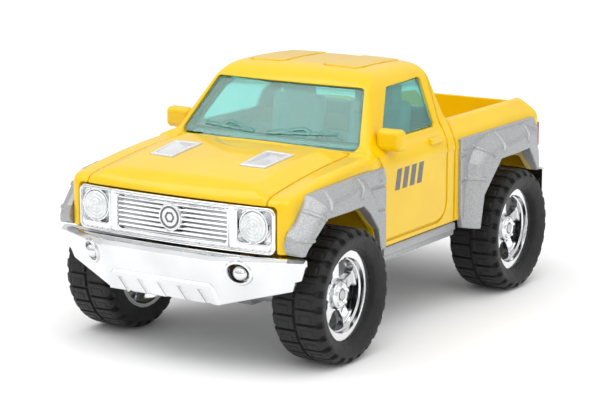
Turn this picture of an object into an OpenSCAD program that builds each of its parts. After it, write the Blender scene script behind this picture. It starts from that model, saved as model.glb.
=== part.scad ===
/* [Overall] */
// Distance between the front and rear axles
wheelbase = 76; // [75:0.5:77]
// From the front axle to the front face of the front bumper
front_overhang = 25.3; // [25:0.1:26]
// From the rear axle to the back face of the rear bumper
rear_overhang = 23; // [22.8:0.1:24]

/* [Wheels] */
// Radius of the tyre tread, which is also the height of the axles
tyre_r = 14.4; // [14:0.1:14.6]
// Radius where the tyre sits on the rim
seat_r = 9.7; // [9.5:0.1:10]
// Half of the overall width across a pair of tyres
tyre_out_x = 33.2; // [33:0.1:33.6]
// Width of a tyre
tyre_w = 12.6; // [12:0.1:12.8]
// Number of spokes in a rim
spokes = 5; // [4:1:6]
// Radius of the steel axles
axle_r = 1; // [0.9:0.05:1.1]

/* [Body] */
// Half width across the doors
side_x = 28; // [27.8:0.1:28.2]
// Height of the lower edge of the doors
door_z = 20.4; // [20.3:0.1:20.6]
// Height of the roof
roof_z = 57.7; // [57.2:0.1:58]
// Height of the cargo bed rails
rail_z = 43.5; // [43:0.1:44]
// Height of the cargo bed floor
bed_floor_z = 31.5; // [31.3:0.1:32]
// Wall of the die-cast shell
wall = 1.6; // [1.4:0.1:1.8]
// Wall of the window moulding
glass_t = 1; // [0.8:0.1:1.2]

/* [Motor] */
// Module of the gear teeth
gear_m = 0.4; // [0.4:0.01:0.4]
// Teeth of the two small pinions
pinion_z = 12; // [12:1:12]
// Teeth of the two large gears
wheel_z = 30; // [30:1:30]
// Turns of the mainspring strip
spring_turns = 5; // [4:1:6]

/* [Hidden] */
$fn = 48;
front_y = -(front_overhang + wheelbase + rear_overhang) / 2;
rear_y = -front_y;
fy = front_y + front_overhang; // front axle
ry = fy + wheelbase;           // rear axle
axle_z = tyre_r;
nose_y = fy - 19.5;            // front edge of the hood
tail_y = ry + 18.2;            // back face of the cargo bed
cab_back_y = ry - 22.7;        // back wall of the cab
screen_y = fy + 17;            // foot of the windscreen
side_z = 39.2;                 // top of the flat door side
nose_floor_z = 26;             // underside of the body ahead of and behind the wheels
bed_x = 23.2;                  // half width of the cargo bed pocket
bed_front_y = cab_back_y + 1.9;
bed_back_y = tail_y - 2.4;
arch_x = 24.6;                 // wheel arches are cut from here outwards
vent_t = 0.9;                  // depth of the pockets for the hood vents
run_gap = 0.05;                // radial gap of a turning fit
plate_z = 18.2;                // underside of the chassis plate
plate_top = 20.3;
plate_x = 18.8;                // half width of the plate between the tyres
tyre_in_x = tyre_out_x - tyre_w;
rim_face_x = tyre_out_x - 1.6;
axle_end_x = rim_face_x - 1.8;

// Motor layout, in the plane across the axles
gear_dist = gear_m * (pinion_z + wheel_z) / 2;
cluster_dir = 150;
barrel_dir = 180;
pinion_c = [ry, axle_z];
cluster_c = pinion_c + gear_dist * [cos(cluster_dir), sin(cluster_dir)];
barrel_c = cluster_c + gear_dist * [cos(barrel_dir), sin(barrel_dir)];
case_x = 7.4;
case_t = 1;
case_split_x = -1;
shaft_r = 0.6;
arbor_r = 0.9;
drum_r = 5.6;
drum_in_r = 5;
case_r = gear_m * wheel_z / 2 + 1.8;
lugs = [barrel_c + (case_r + 1.4) * [cos(225), sin(225)], pinion_c + [5.4, 1.2]];
lug_r = 1.7;
tap_r = 0.6;

screw_at = [[0, fy - 9], [14, ry + 13.5], [-14, ry + 13.5]];
screw_r = 0.9;
screw_head_r = 2;

// ---- helpers -------------------------------------------------------------

// A (y, z) outline extruded from x0 to x1
module along_x(x0, x1) {
    translate([x0, 0, 0]) rotate([90, 0, 90]) linear_extrude(x1 - x0) children();
}

// An (x, z) outline extruded from y0 to y1
module along_y(y0, y1) {
    translate([0, y1, 0]) rotate([90, 0, 0]) linear_extrude(y1 - y0) children();
}

module block(lo, hi) {
    translate(lo) cube(hi - lo);
}

module both_sides() {
    children();
    mirror([1, 0, 0]) children();
}

// A rod along X around the (y, z) centre c
module rod_x(r, x0, x1, c) {
    translate([x0, c[0], c[1]]) rotate([0, 90, 0]) cylinder(r = r, h = x1 - x0);
}

module rounded_rect(w, h, r) {
    hull() for (x = [r - w / 2, w / 2 - r], y = [r - h / 2, h / 2 - r])
        translate([x, y]) circle(r, $fn = 24);
}

// A block with its edges rounded as seen from the front and from above
module soft_block(size, r) {
    intersection() {
        along_y(-size[1] / 2, size[1] / 2) rounded_rect(size[0], size[2], r);
        translate([0, 0, -size[2]]) linear_extrude(2 * size[2]) rounded_rect(size[0], size[1], r);
    }
}

// ---- body ----------------------------------------------------------------

// Height of the hood: a gentle arc, higher along its crown than at its sides
function hood_z(y, rise) =
    let (u = (y - nose_y) / (screen_y - nose_y)) 37 + rise + 7 * u - 2.8 * u * u;

function side_outline() = concat(
    [[nose_y + 4, door_z + 5.6], [nose_y + 0.6, door_z + 5.6], [nose_y, 35.6], [nose_y + 0.5, 36.6]],
    [for (k = [1 : 7]) let (y = nose_y + k * (screen_y - nose_y) / 7) [y, hood_z(y, 0)]],
    [[screen_y + 0.1, 42], [fy + 27.4, 55.2], [fy + 30, 56.9], [fy + 36, roof_z - 0.1],
     [cab_back_y - 5, roof_z], [cab_back_y - 2.2, roof_z - 0.6], [cab_back_y - 1, roof_z - 2.2],
     [cab_back_y, rail_z], [tail_y - 3.2, rail_z], [tail_y - 0.4, rail_z - 3.1], [tail_y, 38],
     [tail_y, nose_floor_z], [tail_y - 3.6, nose_floor_z], [tail_y - 3.6, door_z],
     [nose_y + 4, door_z]]);

half_section = [[side_x, door_z - 10], [side_x, side_z], [side_x - 1, side_z + 1],
    [25.3, 42.6], [20.2, 54.6], [19, 56.2], [16.5, 57.2], [0, roof_z + 0.01]];

function mirrored(pts) =
    concat(pts, [for (k = [len(pts) - 1 : -1 : 0]) [-pts[k][0], pts[k][1]]]);

half_plan = [[0, nose_y], [20, nose_y], [25, nose_y + 0.6], [27, nose_y + 1.8],
    [side_x, nose_y + 4.5], [side_x, tail_y - 1.5], [side_x - 1, tail_y], [0, tail_y]];

// The crown of the hood, which slopes down to the panel gap at each side
module hood_crown(t) {
    module ridge(x, rise) {
        along_x(-x + t, x - t) offset(delta = -t)
            polygon(concat([[nose_y, 35], [nose_y + 0.1, 36]],
                [for (k = [0 : 8]) let (y = nose_y + 1 + k * (screen_y - nose_y) / 8)
                    [y, hood_z(y, rise)]],
                [[screen_y + 1, 35]]));
    }
    hull() { ridge(16.8, 1.6); ridge(22.6, 0); }
}

// Outside of the body, moved inwards by t
module envelope(t) {
    intersection() {
        along_x(-40, 40) offset(delta = -t) polygon(side_outline());
        along_y(front_y, rear_y) offset(delta = -t) polygon(mirrored(half_section));
        linear_extrude(80) offset(delta = -t) polygon(mirrored(half_plan));
    }
    hood_crown(t);
}

module arch(c, outline) {
    both_sides() translate([0, c, 0]) along_x(arch_x, 40) polygon(outline);
}

front_arch = [[-30, 0], [-30, 26], [-16.6, 26], [-15.7, 27.5], [-9.9, 32.6], [7.2, 32],
    [10.7, 29.8], [15, 25.6], [16, 20], [16.4, 0]];
rear_arch = [[-18.8, 0], [-18.5, 18], [-16.5, 25.5], [-9.7, 33], [7.2, 32.8], [15, 26],
    [30, 26], [30, 0]];

side_window = [[fy + 24.3, 43.6], [fy + 25, 46.4], [fy + 32.8, 53.4], [ry - 27.8, 53.8],
    [ry - 28.3, 42.6], [fy + 25.2, 42.6]];
windscreen = [[23, 42.6], [19, 53.8]];
rear_window = [[19, 45.5], [17, 53.4]];

// The glazed openings, with their outlines moved inwards by d
module openings(d) {
    both_sides() along_x(15, 40) offset(delta = -d) polygon(side_window);
    along_y(screen_y - 1, fy + 33) offset(delta = -d) polygon(mirrored(windscreen));
    along_y(cab_back_y - 4, cab_back_y + 5) offset(delta = -d) polygon(mirrored(rear_window));
}

vent_outline = [[-8.65, -6.95], [-14.9, -6.5], [-15.6, 3.8], [-8.3, 3.9]];

module vent_prism(side, d) {
    translate([0, fy, 30]) linear_extrude(20) offset(delta = -d)
        polygon([for (p = vent_outline) [-side * p[0], p[1]]]);
}

module body_shell() color("gold") {
    difference() {
        envelope(0);
        // hollow under the hood, the cab and the bed
        difference() {
            intersection() {
                union() {
                    envelope(wall);
                    block([wall - side_x, nose_y, 0], [side_x - wall, tail_y, 37]);
                }
                block([-40, nose_y + 4.5, 0], [40, tail_y - 2, 80]);
            }
            block([-40, cab_back_y - wall, bed_floor_z - 1.5], [40, tail_y, 80]);
        }
        block([-bed_x, bed_front_y, bed_floor_z], [bed_x, bed_back_y, 80]);
        // recess for the grille, below the lip of the hood
        block([-25.3, nose_y - 2, 0], [25.3, nose_y + 3, 35.7]);
        both_sides() lamp_block(0.05);
        arch(fy, front_arch);
        arch(ry, rear_arch);
        openings(0);
        for (side = [-1, 1]) intersection() {
            vent_prism(side, 0);
            difference() { hood_crown(-1); hood_crown(vent_t); }
        }
    }
    for (p = screw_at) boss(p, p[1] > 0 ? bed_floor_z - 1.4 : 39);
}

module boss(p, top) {
    translate([p[0], p[1], plate_top]) difference() {
        cylinder(r = 2.6, h = top - plate_top);
        translate([0, 0, -1]) cylinder(r = screw_r, h = 8);
    }
}

module window_glass() color([0.35, 0.8, 0.76, 0.5]) {
    intersection() {
        difference() { envelope(wall + 0.1); envelope(wall + 0.1 + glass_t); }
        block([-40, screen_y - 2, 42.7], [40, cab_back_y - wall, 56.6]);
    }
    intersection() {
        difference() { envelope(0.6); envelope(wall + 0.1); }
        openings(0.15);
    }
}

module interior_tub() color("lightgrey") {
    tub_x = side_x - wall - 0.3;
    y0 = screen_y + 1.5;
    y1 = cab_back_y - wall - 0.2;
    difference() {
        union() {
            block([-tub_x, y0, plate_top + 0.1], [tub_x, y1, 38.4]);
            block([-22, y0 + 0.7, 38], [22, y0 + 7.5, 40.9]);
        }
        block([-tub_x + 1.4, y0 + 7.5, 24], [tub_x - 1.4, y1 - 1.4, 50]);
        block([-tub_x + 1.4, y0 + 1.4, 10], [tub_x - 1.4, y0 + 6, 38]);
    }
    both_sides() translate([10.5, 0, 0]) {
        along_x(-7, 7) polygon([[y1 - 19, 24], [y1 - 19.5, 30], [y1 - 18.5, 31.4], [y1 - 8, 30.4],
            [y1 - 5, 47], [y1 - 2.4, 47.6], [y1 - 2.4, 24]]);
        along_x(-4.2, 4.2) polygon([[y1 - 6.2, 47], [y1 - 5.2, 52], [y1 - 4.2, 52.8],
            [y1 - 2.6, 52.6], [y1 - 2.4, 47]]);
    }
}

module steering_wheel() color("dimgray") {
    translate([10.5, screen_y + 10.6, 39.6]) rotate([-62, 0, 0]) {
        rotate_extrude() translate([3.4, 0]) circle(0.55, $fn = 24);
        cylinder(r = 1, h = 1, center = true);
        translate([0, 0, -1.4]) cylinder(r = 0.7, h = 1.4);
        for (a = [90, 210, 330]) rotate([0, 0, a]) translate([0, -0.35, -0.35]) cube([3.4, 0.7, 0.7]);
    }
}

// ---- front and rear trim -------------------------------------------------

lamp_x = 20.15;
lamp_z = 31.4;
badge_r = 2.8;
badge_y = nose_y - 0.1;
badge_z = 31.2;
panel_back_y = nose_y + 3;

module front_panel_plan(d) {
    polygon([[-25.1 + d, panel_back_y - 0.05], [-25.1 + d, nose_y + 1.2 + d],
        [-14, nose_y - 0.2 + d], [0, nose_y - 0.5 + d], [14, nose_y - 0.2 + d],
        [25.1 - d, nose_y + 1.2 + d], [25.1 - d, panel_back_y - 0.05]]);
}

module grille() color("silver") {
    difference() {
        translate([0, 0, 26.5]) linear_extrude(9) front_panel_plan(0);
        // square recesses around the lamps
        both_sides() block([lamp_x - 3.9, nose_y - 2, lamp_z - 3.7], [lamp_x + 3.9, nose_y + 2, lamp_z + 3.5]);
        block([-14, nose_y - 2, 27.6], [14, nose_y + 0.7, 34.9]);
    }
    for (k = [0 : 5]) translate([-14, nose_y + 0.1, 28.1 + 1.12 * k]) cube([28, 0.8, 0.55]);
    both_sides() translate([15.1, nose_y + 0.2, 26.5]) cylinder(r = 0.6, h = 9);
    translate([0, badge_y, badge_z]) rotate([-90, 0, 0]) cylinder(r = badge_r + 0.1, h = 1);
}

module grille_badge() color("gainsboro")
    translate([0, badge_y, badge_z]) rotate([90, 0, 0]) cylinder(r = badge_r, h = 0.5);

module headlamp() color("whitesmoke")
    translate([lamp_x, nose_y + 1.95, lamp_z - 0.1]) rotate([90, 0, 0]) {
        cylinder(r = 3.2, h = 1.2);
        translate([0, 0, 1.2]) cylinder(r1 = 3, r2 = 1.6, h = 0.6, $fn = 48);
    }
module headlamp_left() headlamp();
module headlamp_right() mirror([1, 0, 0]) headlamp();

// A scoop that lies in its pocket, with a dished middle
module hood_vent(side) color("silver") intersection() {
    vent_prism(side, 0.05);
    difference() {
        hood_crown(0.1);
        hood_crown(vent_t - 0.05);
        intersection() { vent_prism(side, 1.3); hood_scoop(); }
    }
}
module hood_scoop() difference() { hood_crown(-1); hood_crown(0.5); }
module hood_vent_left() hood_vent(1);
module hood_vent_right() hood_vent(-1);

bumper_back_y = nose_y + 2;
bumper_front = [[30.1, 25.5], [30.2, 24], [28.3, 18.3], [14, 14.7]];
bumper_plan = [[30.2, bumper_back_y], [30.2, front_y + 5.9], [14.3, front_y]];

module front_bumper() color("silver") {
    difference() {
        intersection() {
            linear_extrude(60) polygon(mirrored(bumper_plan));
            along_y(front_y, bumper_back_y) polygon(mirrored(bumper_front));
            along_x(-40, 40) polygon([[front_y + 3.6, 14], [front_y, 24.6], [front_y + 1.4, 25.5],
                [bumper_back_y, 25.5], [bumper_back_y, 14]]);
        }
        block([-26, front_y + 5.6, 0], [26, bumper_back_y + 1, 23.6]);
        both_sides() translate([18.8, front_y + 1.4, 22.2]) rotate([90, 0, 0])
            cylinder(r = 2, h = 6, center = true);
    }
    both_sides() translate([18.8, front_y + 5.6, 22.2]) rotate([90, 0, 0]) cylinder(r = 1.8, h = 3.9);
}

module rear_bumper() color("silver") difference() {
    linear_extrude(25.8) polygon(mirrored([[27.5, tail_y + 0.1], [27.5, rear_y - 2.4], [24, rear_y]]));
    linear_extrude(2 * 19.8, center = true) square(200, center = true);
    block([-24, tail_y - 1, 0], [24, tail_y + 2.2, 24.2]);
}

module lamp_block(d) {
    block([22.6 - d, tail_y - 0.6 - d, 31.2 - d], [27.8 + d, tail_y + 1, 37.4 + d]);
}
module tail_lamp() color("crimson") lamp_block(0);
module tail_lamp_left() tail_lamp();
module tail_lamp_right() mirror([1, 0, 0]) tail_lamp();

// ---- wheel arch flares ---------------------------------------------------

flare_slope = [[side_x, 38.6], [32.7, 34.8], [33, 32.5], [32.6, 16], [side_x, 16]];

// Sheet over the body side plus the bulge around the arch
module flare(c, outline, arch_line, plan) {
    full = concat(outline, arch_line);
    translate([0, c, 0]) {
        along_x(side_x, side_x + 0.5) polygon(full);
        intersection() {
            along_x(side_x, side_x + 6) polygon(full);
            along_y(-40, 40) polygon(flare_slope);
            linear_extrude(60) polygon(plan);
        }
    }
}

module flare_front() color("silver") flare(fy,
    [[16, door_z], [19.4, door_z], [18.7, 38.5], [6.9, 38.4], [-7.2, 37.9], [-11.3, 37.5],
        [-14, 34.8], [-18.1, 30.2], [-18.9, 28.3], [-18.4, 26.9], [-17.5, 26]],
    [for (k = [2 : 7]) front_arch[k]],
    [[side_x, -19], [29.5, -18.6], [31.5, -15], [32.7, -9.9], [30.8, 7.2], [29, 12], [side_x, 19]]);

module flare_rear() color("silver") flare(ry,
    [[-17.8, 17.6], [-21.7, 18.4], [-22.6, 22], [-22.8, 39.4], [14.7, 39.4], [18, 36], [18, 26.4],
        [15.4, 26]],
    [for (k = [5 : -1 : 2]) rear_arch[k]],
    [[side_x, -20.5], [30.6, -17.5], [32.7, -9.9], [31.6, 7.2], [29.6, 15], [side_x, 17.6]]);

module flare_front_left() flare_front();
module flare_front_right() mirror([1, 0, 0]) flare_front();
module flare_rear_left() flare_rear();
module flare_rear_right() mirror([1, 0, 0]) flare_rear();

module door_mirror() color("gold") difference() {
    union() {
        translate([28, fy + 22.8, 43.7]) soft_block([6.6, 3.6, 5], 1.3);
        block([23, fy + 22, 41.8], [26.5, fy + 24.4, 43.2]);
    }
    block([0, fy, 0], [26.2, fy + 40, 42.2]);
    along_y(fy, fy + 40) polygon([[0, 30], [26.6, 41], [25.35, 42.6], [22.6, 49], [0, 49]]);
}
module mirror_left() door_mirror();
module mirror_right() mirror([1, 0, 0]) door_mirror();

// ---- chassis -------------------------------------------------------------

sill_y = [fy + 19.5, ry - 24.5];
bay_y = [barrel_c[0] - case_r - 0.5, ry + 7.6];
bearing_x = [9, 15];

module chassis_base() color("silver") {
    difference() {
        union() {
            block([-plate_x, bumper_back_y - 0.1, plate_z], [plate_x, tail_y - 0.1, plate_top]);
            block([-12, front_y + 5.6, plate_z], [12, tail_y + 2.2, plate_top]);
            block([-27.6, sill_y[0], plate_z], [27.6, sill_y[1], plate_top]);
            // sills, with a step along their outer faces
            both_sides() along_y(sill_y[0], sill_y[1])
                polygon([[25, 17.3], [28, 17.3], [28, 18.4], [28.4, 18.6], [28.4, 20], [28, 20.3], [25, 20.3]]);
            // blocks that carry the front axle, and the housing between them
            both_sides() along_x(bearing_x[0], bearing_x[1])
                polygon([[fy - 3, 12], [fy - 2, 11], [fy + 2, 11], [fy + 3, 12], [fy + 4, 18.3], [fy - 4, 18.3]]);
            along_x(-bearing_x[0], bearing_x[0])
                polygon([[fy - 4, 12], [fy - 2.4, 9.8], [fy + 2.4, 9.8], [fy + 4, 12], [fy + 5, 18.3], [fy - 5, 18.3]]);
        }
        rod_x(axle_r + run_gap, -bearing_x[1] - 1, bearing_x[1] + 1, [fy, axle_z]);
        block([-8.8, bay_y[0], 0], [8.8, bay_y[1], 30]);
        for (p = screw_at) translate([p[0], p[1], 0]) {
            cylinder(r = screw_r + 0.3, h = 40);
            cylinder(r = screw_head_r + 0.3, h = plate_z + 1);
        }
    }
}

module chassis_screws() color("darkgray")
    for (p = screw_at) translate([p[0], p[1], plate_z]) {
        difference() {
            cylinder(r = screw_head_r, h = 1);
            translate([-1.5, -0.25, -0.1]) cube([3, 0.5, 0.5]);
            translate([-0.25, -1.5, -0.1]) cube([0.5, 3, 0.5]);
        }
        translate([0, 0, 1]) cylinder(r = screw_r, h = 7.6);
    }

// ---- wheels --------------------------------------------------------------

module axle(c) color("silver") rod_x(axle_r, -axle_end_x, axle_end_x, c);
module front_axle() axle([fy, axle_z]);
module rear_axle() axle([ry, axle_z]);

// Places a wheel part, drawn around +Z with its outer face up, on an axle
module on_axle(c, side) {
    translate([0, c, axle_z]) rotate([0, 90 * side, 0]) children();
}

module rim(c, side) color("silver") on_axle(c, side) {
    difference() {
        rotate_extrude($fn = 96) polygon([[0, tyre_in_x + 2], [2.6, tyre_in_x + 2], [2.9, 26], [8.8, 24.6],
            [8.8, tyre_in_x + 0.2], [seat_r, tyre_in_x + 0.2], [seat_r, rim_face_x],
            [8.6, rim_face_x], [8.4, 27], [3.1, 29.4], [2.4, rim_face_x - 0.6], [0, rim_face_x - 0.4]]);
        translate([0, 0, tyre_in_x]) cylinder(r = axle_r, h = axle_end_x - tyre_in_x);
        // windows between the spokes
        for (k = [0 : spokes - 1]) rotate([0, 0, 360 * (k + 0.5) / spokes])
            translate([0, 0, 20]) linear_extrude(20)
                polygon([[3.8, -0.8], [7.9, -3.1], [8.3, 0], [7.9, 3.1], [3.8, 0.8]]);
    }
}

module tyre(c, side) color("#202020") on_axle(c, side)
    rotate_extrude($fn = 96) polygon([[seat_r, tyre_in_x + 0.2], [12.4, tyre_in_x],
        [13.8, tyre_in_x + 0.8], [tyre_r, tyre_in_x + 2], [tyre_r, 26.5], [tyre_r - 0.6, 26.7],
        [tyre_r - 0.6, 27.1], [tyre_r, 27.3], [tyre_r, tyre_out_x - 2],
        [13.8, tyre_out_x - 0.8], [12.4, tyre_out_x], [10.4, tyre_out_x - 0.3], [seat_r, rim_face_x]]);

module rim_front_left() rim(fy, 1);
module rim_front_right() rim(fy, -1);
module rim_rear_left() rim(ry, 1);
module rim_rear_right() rim(ry, -1);
module tyre_front_left() tyre(fy, 1);
module tyre_front_right() tyre(fy, -1);
module tyre_rear_left() tyre(ry, 1);
module tyre_rear_right() tyre(ry, -1);

// ---- pull-back motor -----------------------------------------------------

module case_outline(d) {
    offset(delta = -d) union() {
        hull() {
            translate(pinion_c) circle(4.2);
            translate(cluster_c) circle(case_r);
            translate(barrel_c) circle(case_r);
        }
        if (d == 0) {
            hull() { translate(lugs[0]) circle(lug_r); translate(barrel_c) circle(4); }
            hull() { translate(lugs[1]) circle(lug_r); translate(pinion_c) circle(3); }
        }
    }
}

// Both halves are cup shaped: an end plate, a wall, shaft holes and spacer posts
module case_half(x0, x1, plate0, plate1) {
    difference() {
        union() {
            difference() {
                along_x(x0, x1) case_outline(0);
                along_x(-case_x + case_t, case_x - case_t) case_outline(case_t);
            }
            children();
        }
        rod_x(axle_r + run_gap, plate0, plate1, pinion_c);
        rod_x(shaft_r, plate0, plate1, cluster_c);
        rod_x(arbor_r, plate0, plate1, barrel_c);
    }
}

module motor_case_left() color("dimgray") difference() {
    case_half(case_split_x, case_x, case_split_x, case_x + 1) {
        rod_x(1.5, 5.6, case_x - 0.5, cluster_c);
        rod_x(1.5, 3.3, case_x - 0.5, barrel_c);
    }
    for (p = lugs) rod_x(tap_r, case_split_x - 1, 5, p);
}

module motor_case_right() color("dimgray") difference() {
    case_half(-case_x, case_split_x, -case_x - 1, case_x)
        rod_x(1.4, -case_x + 0.5, 1, cluster_c);
    for (p = lugs) rod_x(tap_r + 0.15, -case_x - 1, 0, p);
}

module motor_screws() color("darkgray") for (p = lugs) {
    rod_x(tap_r, -case_x, 4.8, p);
    rod_x(1.2, -case_x - 0.8, -case_x, p);
}

// Stub involute gear outline, centred, with a tooth centred on the angle dir
module gear_outline(teeth, dir) {
    rp = gear_m * teeth / 2;
    rb = rp * cos(20);
    thin = 0.05 / rp * 90 / PI;
    inv20 = tan(20) * 180 / PI - 20;
    function half_angle(r) =
        let (a = acos(min(1, rb / r))) 90 / teeth - thin + inv20 - (tan(a) * 180 / PI - a);
    radii = [rp - gear_m, max(rb, rp - 0.8 * gear_m), rp, rp + 0.4 * gear_m, rp + 0.8 * gear_m];
    polygon([for (k = [0 : teeth - 1], s = [-1, 1], j = [0 : 4])
        let (r = radii[s < 0 ? j : 4 - j], a = dir + 360 * k / teeth + s * half_angle(max(r, rb)))
        r * [cos(a), sin(a)]]);
}

module gear(teeth, dir, x0, x1, c) {
    along_x(x0, x1) translate(c) gear_outline(teeth, dir);
}

module axle_pinion() color("goldenrod") difference() {
    gear(pinion_z, cluster_dir, 3.4, 5.8, pinion_c);
    rod_x(axle_r, 3, 6, pinion_c);
}

module cluster_gear() color("ivory") difference() {
    union() {
        gear(wheel_z, cluster_dir + 180 + 180 / wheel_z, 3.9, 5.3, cluster_c);
        gear(pinion_z, barrel_dir, 1.3, 3.9, cluster_c);
    }
    rod_x(shaft_r + run_gap, 1, 6, cluster_c);
}

module cluster_shaft() color("silver") rod_x(shaft_r, -case_x, case_x, cluster_c);

module spring_barrel() color("ivory") difference() {
    union() {
        gear(wheel_z, barrel_dir + 180 + 180 / wheel_z, 1.6, 3, barrel_c);
        rod_x(drum_r, -5.6, 1.6, barrel_c);
    }
    rod_x(drum_in_r, -6, 0.8, barrel_c);
    rod_x(arbor_r + run_gap, -7, 4, barrel_c);
}

module spring_arbor() color("silver") rod_x(arbor_r, -case_x, case_x, barrel_c);

// A point on the mainspring: u runs from 0 at its inner end to 1 at its outer end
spring_t = 0.25;
function spring_at(u, d) =
    let (r = 1.6 + (drum_in_r - 1.85) * u + d, a = 360 * spring_turns * u) r * [cos(a), sin(a)];

// Flat strip wound from near the arbor out to the wall of the drum
module mainspring() color("slategray") {
    steps = 24 * spring_turns;
    along_x(-5.2, 0.5) translate(barrel_c) polygon(concat(
        [for (k = [0 : steps]) spring_at(k / steps, 0)],
        [for (k = [steps : -1 : 0]) spring_at(k / steps, spring_t)]));
}

body_shell();
window_glass();
interior_tub();
steering_wheel();
grille();
grille_badge();
headlamp_left();
headlamp_right();
hood_vent_left();
hood_vent_right();
front_bumper();
rear_bumper();
tail_lamp_left();
tail_lamp_right();
flare_front_left();
flare_front_right();
flare_rear_left();
flare_rear_right();
mirror_left();
mirror_right();
chassis_base();
chassis_screws();
front_axle();
rear_axle();
rim_front_left();
rim_front_right();
rim_rear_left();
rim_rear_right();
tyre_front_left();
tyre_front_right();
tyre_rear_left();
tyre_rear_right();
motor_case_left();
motor_case_right();
motor_screws();
axle_pinion();
cluster_gear();
cluster_shaft();
spring_barrel();
spring_arbor();
mainspring();
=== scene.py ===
# %% [markdown]
# This notebook dresses a toy pickup truck with a spring motor. The metal body of the real
# toy is poured into a steel mould, so every edge is a little round and the door gaps are
# shallow grooves. Its silver arches, plated bumper and soft tyres are separate mouldings.
# The mechanical model is loaded first, as a fixed frame, and each piece is placed from it.

# %% Load the frame
import math

import bmesh
import bpy
import numpy as np
from mathutils import Matrix, Vector


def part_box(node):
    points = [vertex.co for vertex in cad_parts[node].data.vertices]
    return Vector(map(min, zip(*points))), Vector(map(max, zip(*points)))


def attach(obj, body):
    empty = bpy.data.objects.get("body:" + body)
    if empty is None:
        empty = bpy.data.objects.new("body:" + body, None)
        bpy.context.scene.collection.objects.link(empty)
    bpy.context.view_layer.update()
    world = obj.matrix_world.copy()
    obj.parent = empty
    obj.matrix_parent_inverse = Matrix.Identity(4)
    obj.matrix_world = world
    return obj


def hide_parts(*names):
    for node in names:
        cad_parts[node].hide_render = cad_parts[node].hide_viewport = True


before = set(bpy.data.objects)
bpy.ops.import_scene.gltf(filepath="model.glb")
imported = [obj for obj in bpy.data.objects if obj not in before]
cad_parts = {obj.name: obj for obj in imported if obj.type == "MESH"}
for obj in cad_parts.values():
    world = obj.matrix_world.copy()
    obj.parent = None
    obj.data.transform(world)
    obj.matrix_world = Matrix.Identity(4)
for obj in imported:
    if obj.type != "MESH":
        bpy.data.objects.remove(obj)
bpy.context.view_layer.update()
MM = 0.001


def box_mm(node):
    """Lowest and highest corner of a CAD node, in millimetres."""
    low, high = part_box(node)
    return np.array(low) / MM, np.array(high) / MM


# %% [markdown]
# Places are worked out from the frame. Drawings of the truck are easiest to read from its
# axles, so the two axle lines and the ends of the body are measured once and then reused.

# %% Driving places, in millimetres
front_axle_box, rear_axle_box = box_mm("front_axle"), box_mm("rear_axle")
FRONT_Y = (front_axle_box[0][1] + front_axle_box[1][1]) / 2
REAR_Y = (rear_axle_box[0][1] + rear_axle_box[1][1]) / 2
AXLE_Z = (front_axle_box[0][2] + front_axle_box[1][2]) / 2
NOSE_Y = FRONT_Y - 19.5       # front of the body, behind the bumper
SCREEN_Y = FRONT_Y + 15.6     # foot of the windscreen
TAIL_Y = REAR_Y + 18.2        # outside of the tailgate
CAB_BACK_Y = REAR_Y - 22.7    # back of the cab
SIDE_X = 28                   # flat side of the doors
WALL = 1.6                    # thickness of the casting
TYRE_LOW, TYRE_HIGH = box_mm("tyre_front_left")
RIM_LOW, RIM_HIGH = box_mm("rim_front_left")
BUMPER_Y = box_mm("front_bumper")[0][1]
print("axles at y", round(FRONT_Y, 2), round(REAR_Y, 2), "and z", round(AXLE_Z, 2))

# %% [markdown]
# A camera with a long lens looks at the left front corner from a little above the hood.

# %% Camera
CAMERA_AT = Vector((253.24, -400.47, 124.26)) * MM
LOOK_AT = Vector((40.40, -69.65, 41.70)) * MM
camera_data = bpy.data.cameras.new("camera")
camera = bpy.data.objects.new("camera", camera_data)
bpy.context.scene.collection.objects.link(camera)
camera.location = CAMERA_AT
camera.rotation_euler = (LOOK_AT - CAMERA_AT).to_track_quat("-Z", "Y").to_euler()
camera_data.lens, camera_data.sensor_width = 126.4, 36
camera_data.clip_start = 0.01
print("camera is", round((LOOK_AT - CAMERA_AT).length / MM), "mm from what it looks at")
bpy.context.scene.camera = camera

# %% [markdown]
# Castings and soft mouldings have no hard corners. Instead of pushing points by hand, such
# a piece is described by a field: a function that is negative inside the material and
# positive outside. Smooth versions of min and max join and cut shapes with a fillet, the
# way a mould maker's radius does. The surface is then wrapped where the field is zero.

# %% Field helpers
def join(a, b, radius):
    """Union of two fields, with a fillet of about that radius."""
    h = np.maximum(radius - np.abs(a - b), 0) / radius
    return np.minimum(a, b) - h * h * radius / 4


def meet(a, b, radius):
    """What two fields share, with rounded edges."""
    return -join(-a, -b, radius)


def cut(a, b, radius):
    """Field a with field b taken away."""
    return meet(a, -b, radius)


def ramp(value, low, high):
    """Goes smoothly from 0 at low to 1 at high."""
    t = np.clip((value - low) / (high - low), 0, 1)
    return t * t * (3 - 2 * t)


def slab(value, low, high):
    """Field of what lies between two parallel planes."""
    return np.maximum(low - value, value - high)


def block(x, y, z, low, high, radius):
    """Field of a box with rounded edges."""
    d = [np.abs(v - (a + b) / 2) - (b - a) / 2 + radius for v, a, b in zip((x, y, z), low, high)]
    outside = np.sqrt(sum(np.maximum(v, 0) ** 2 for v in d))
    return outside + np.minimum(np.maximum(np.maximum(d[0], d[1]), d[2]), 0) - radius


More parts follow.
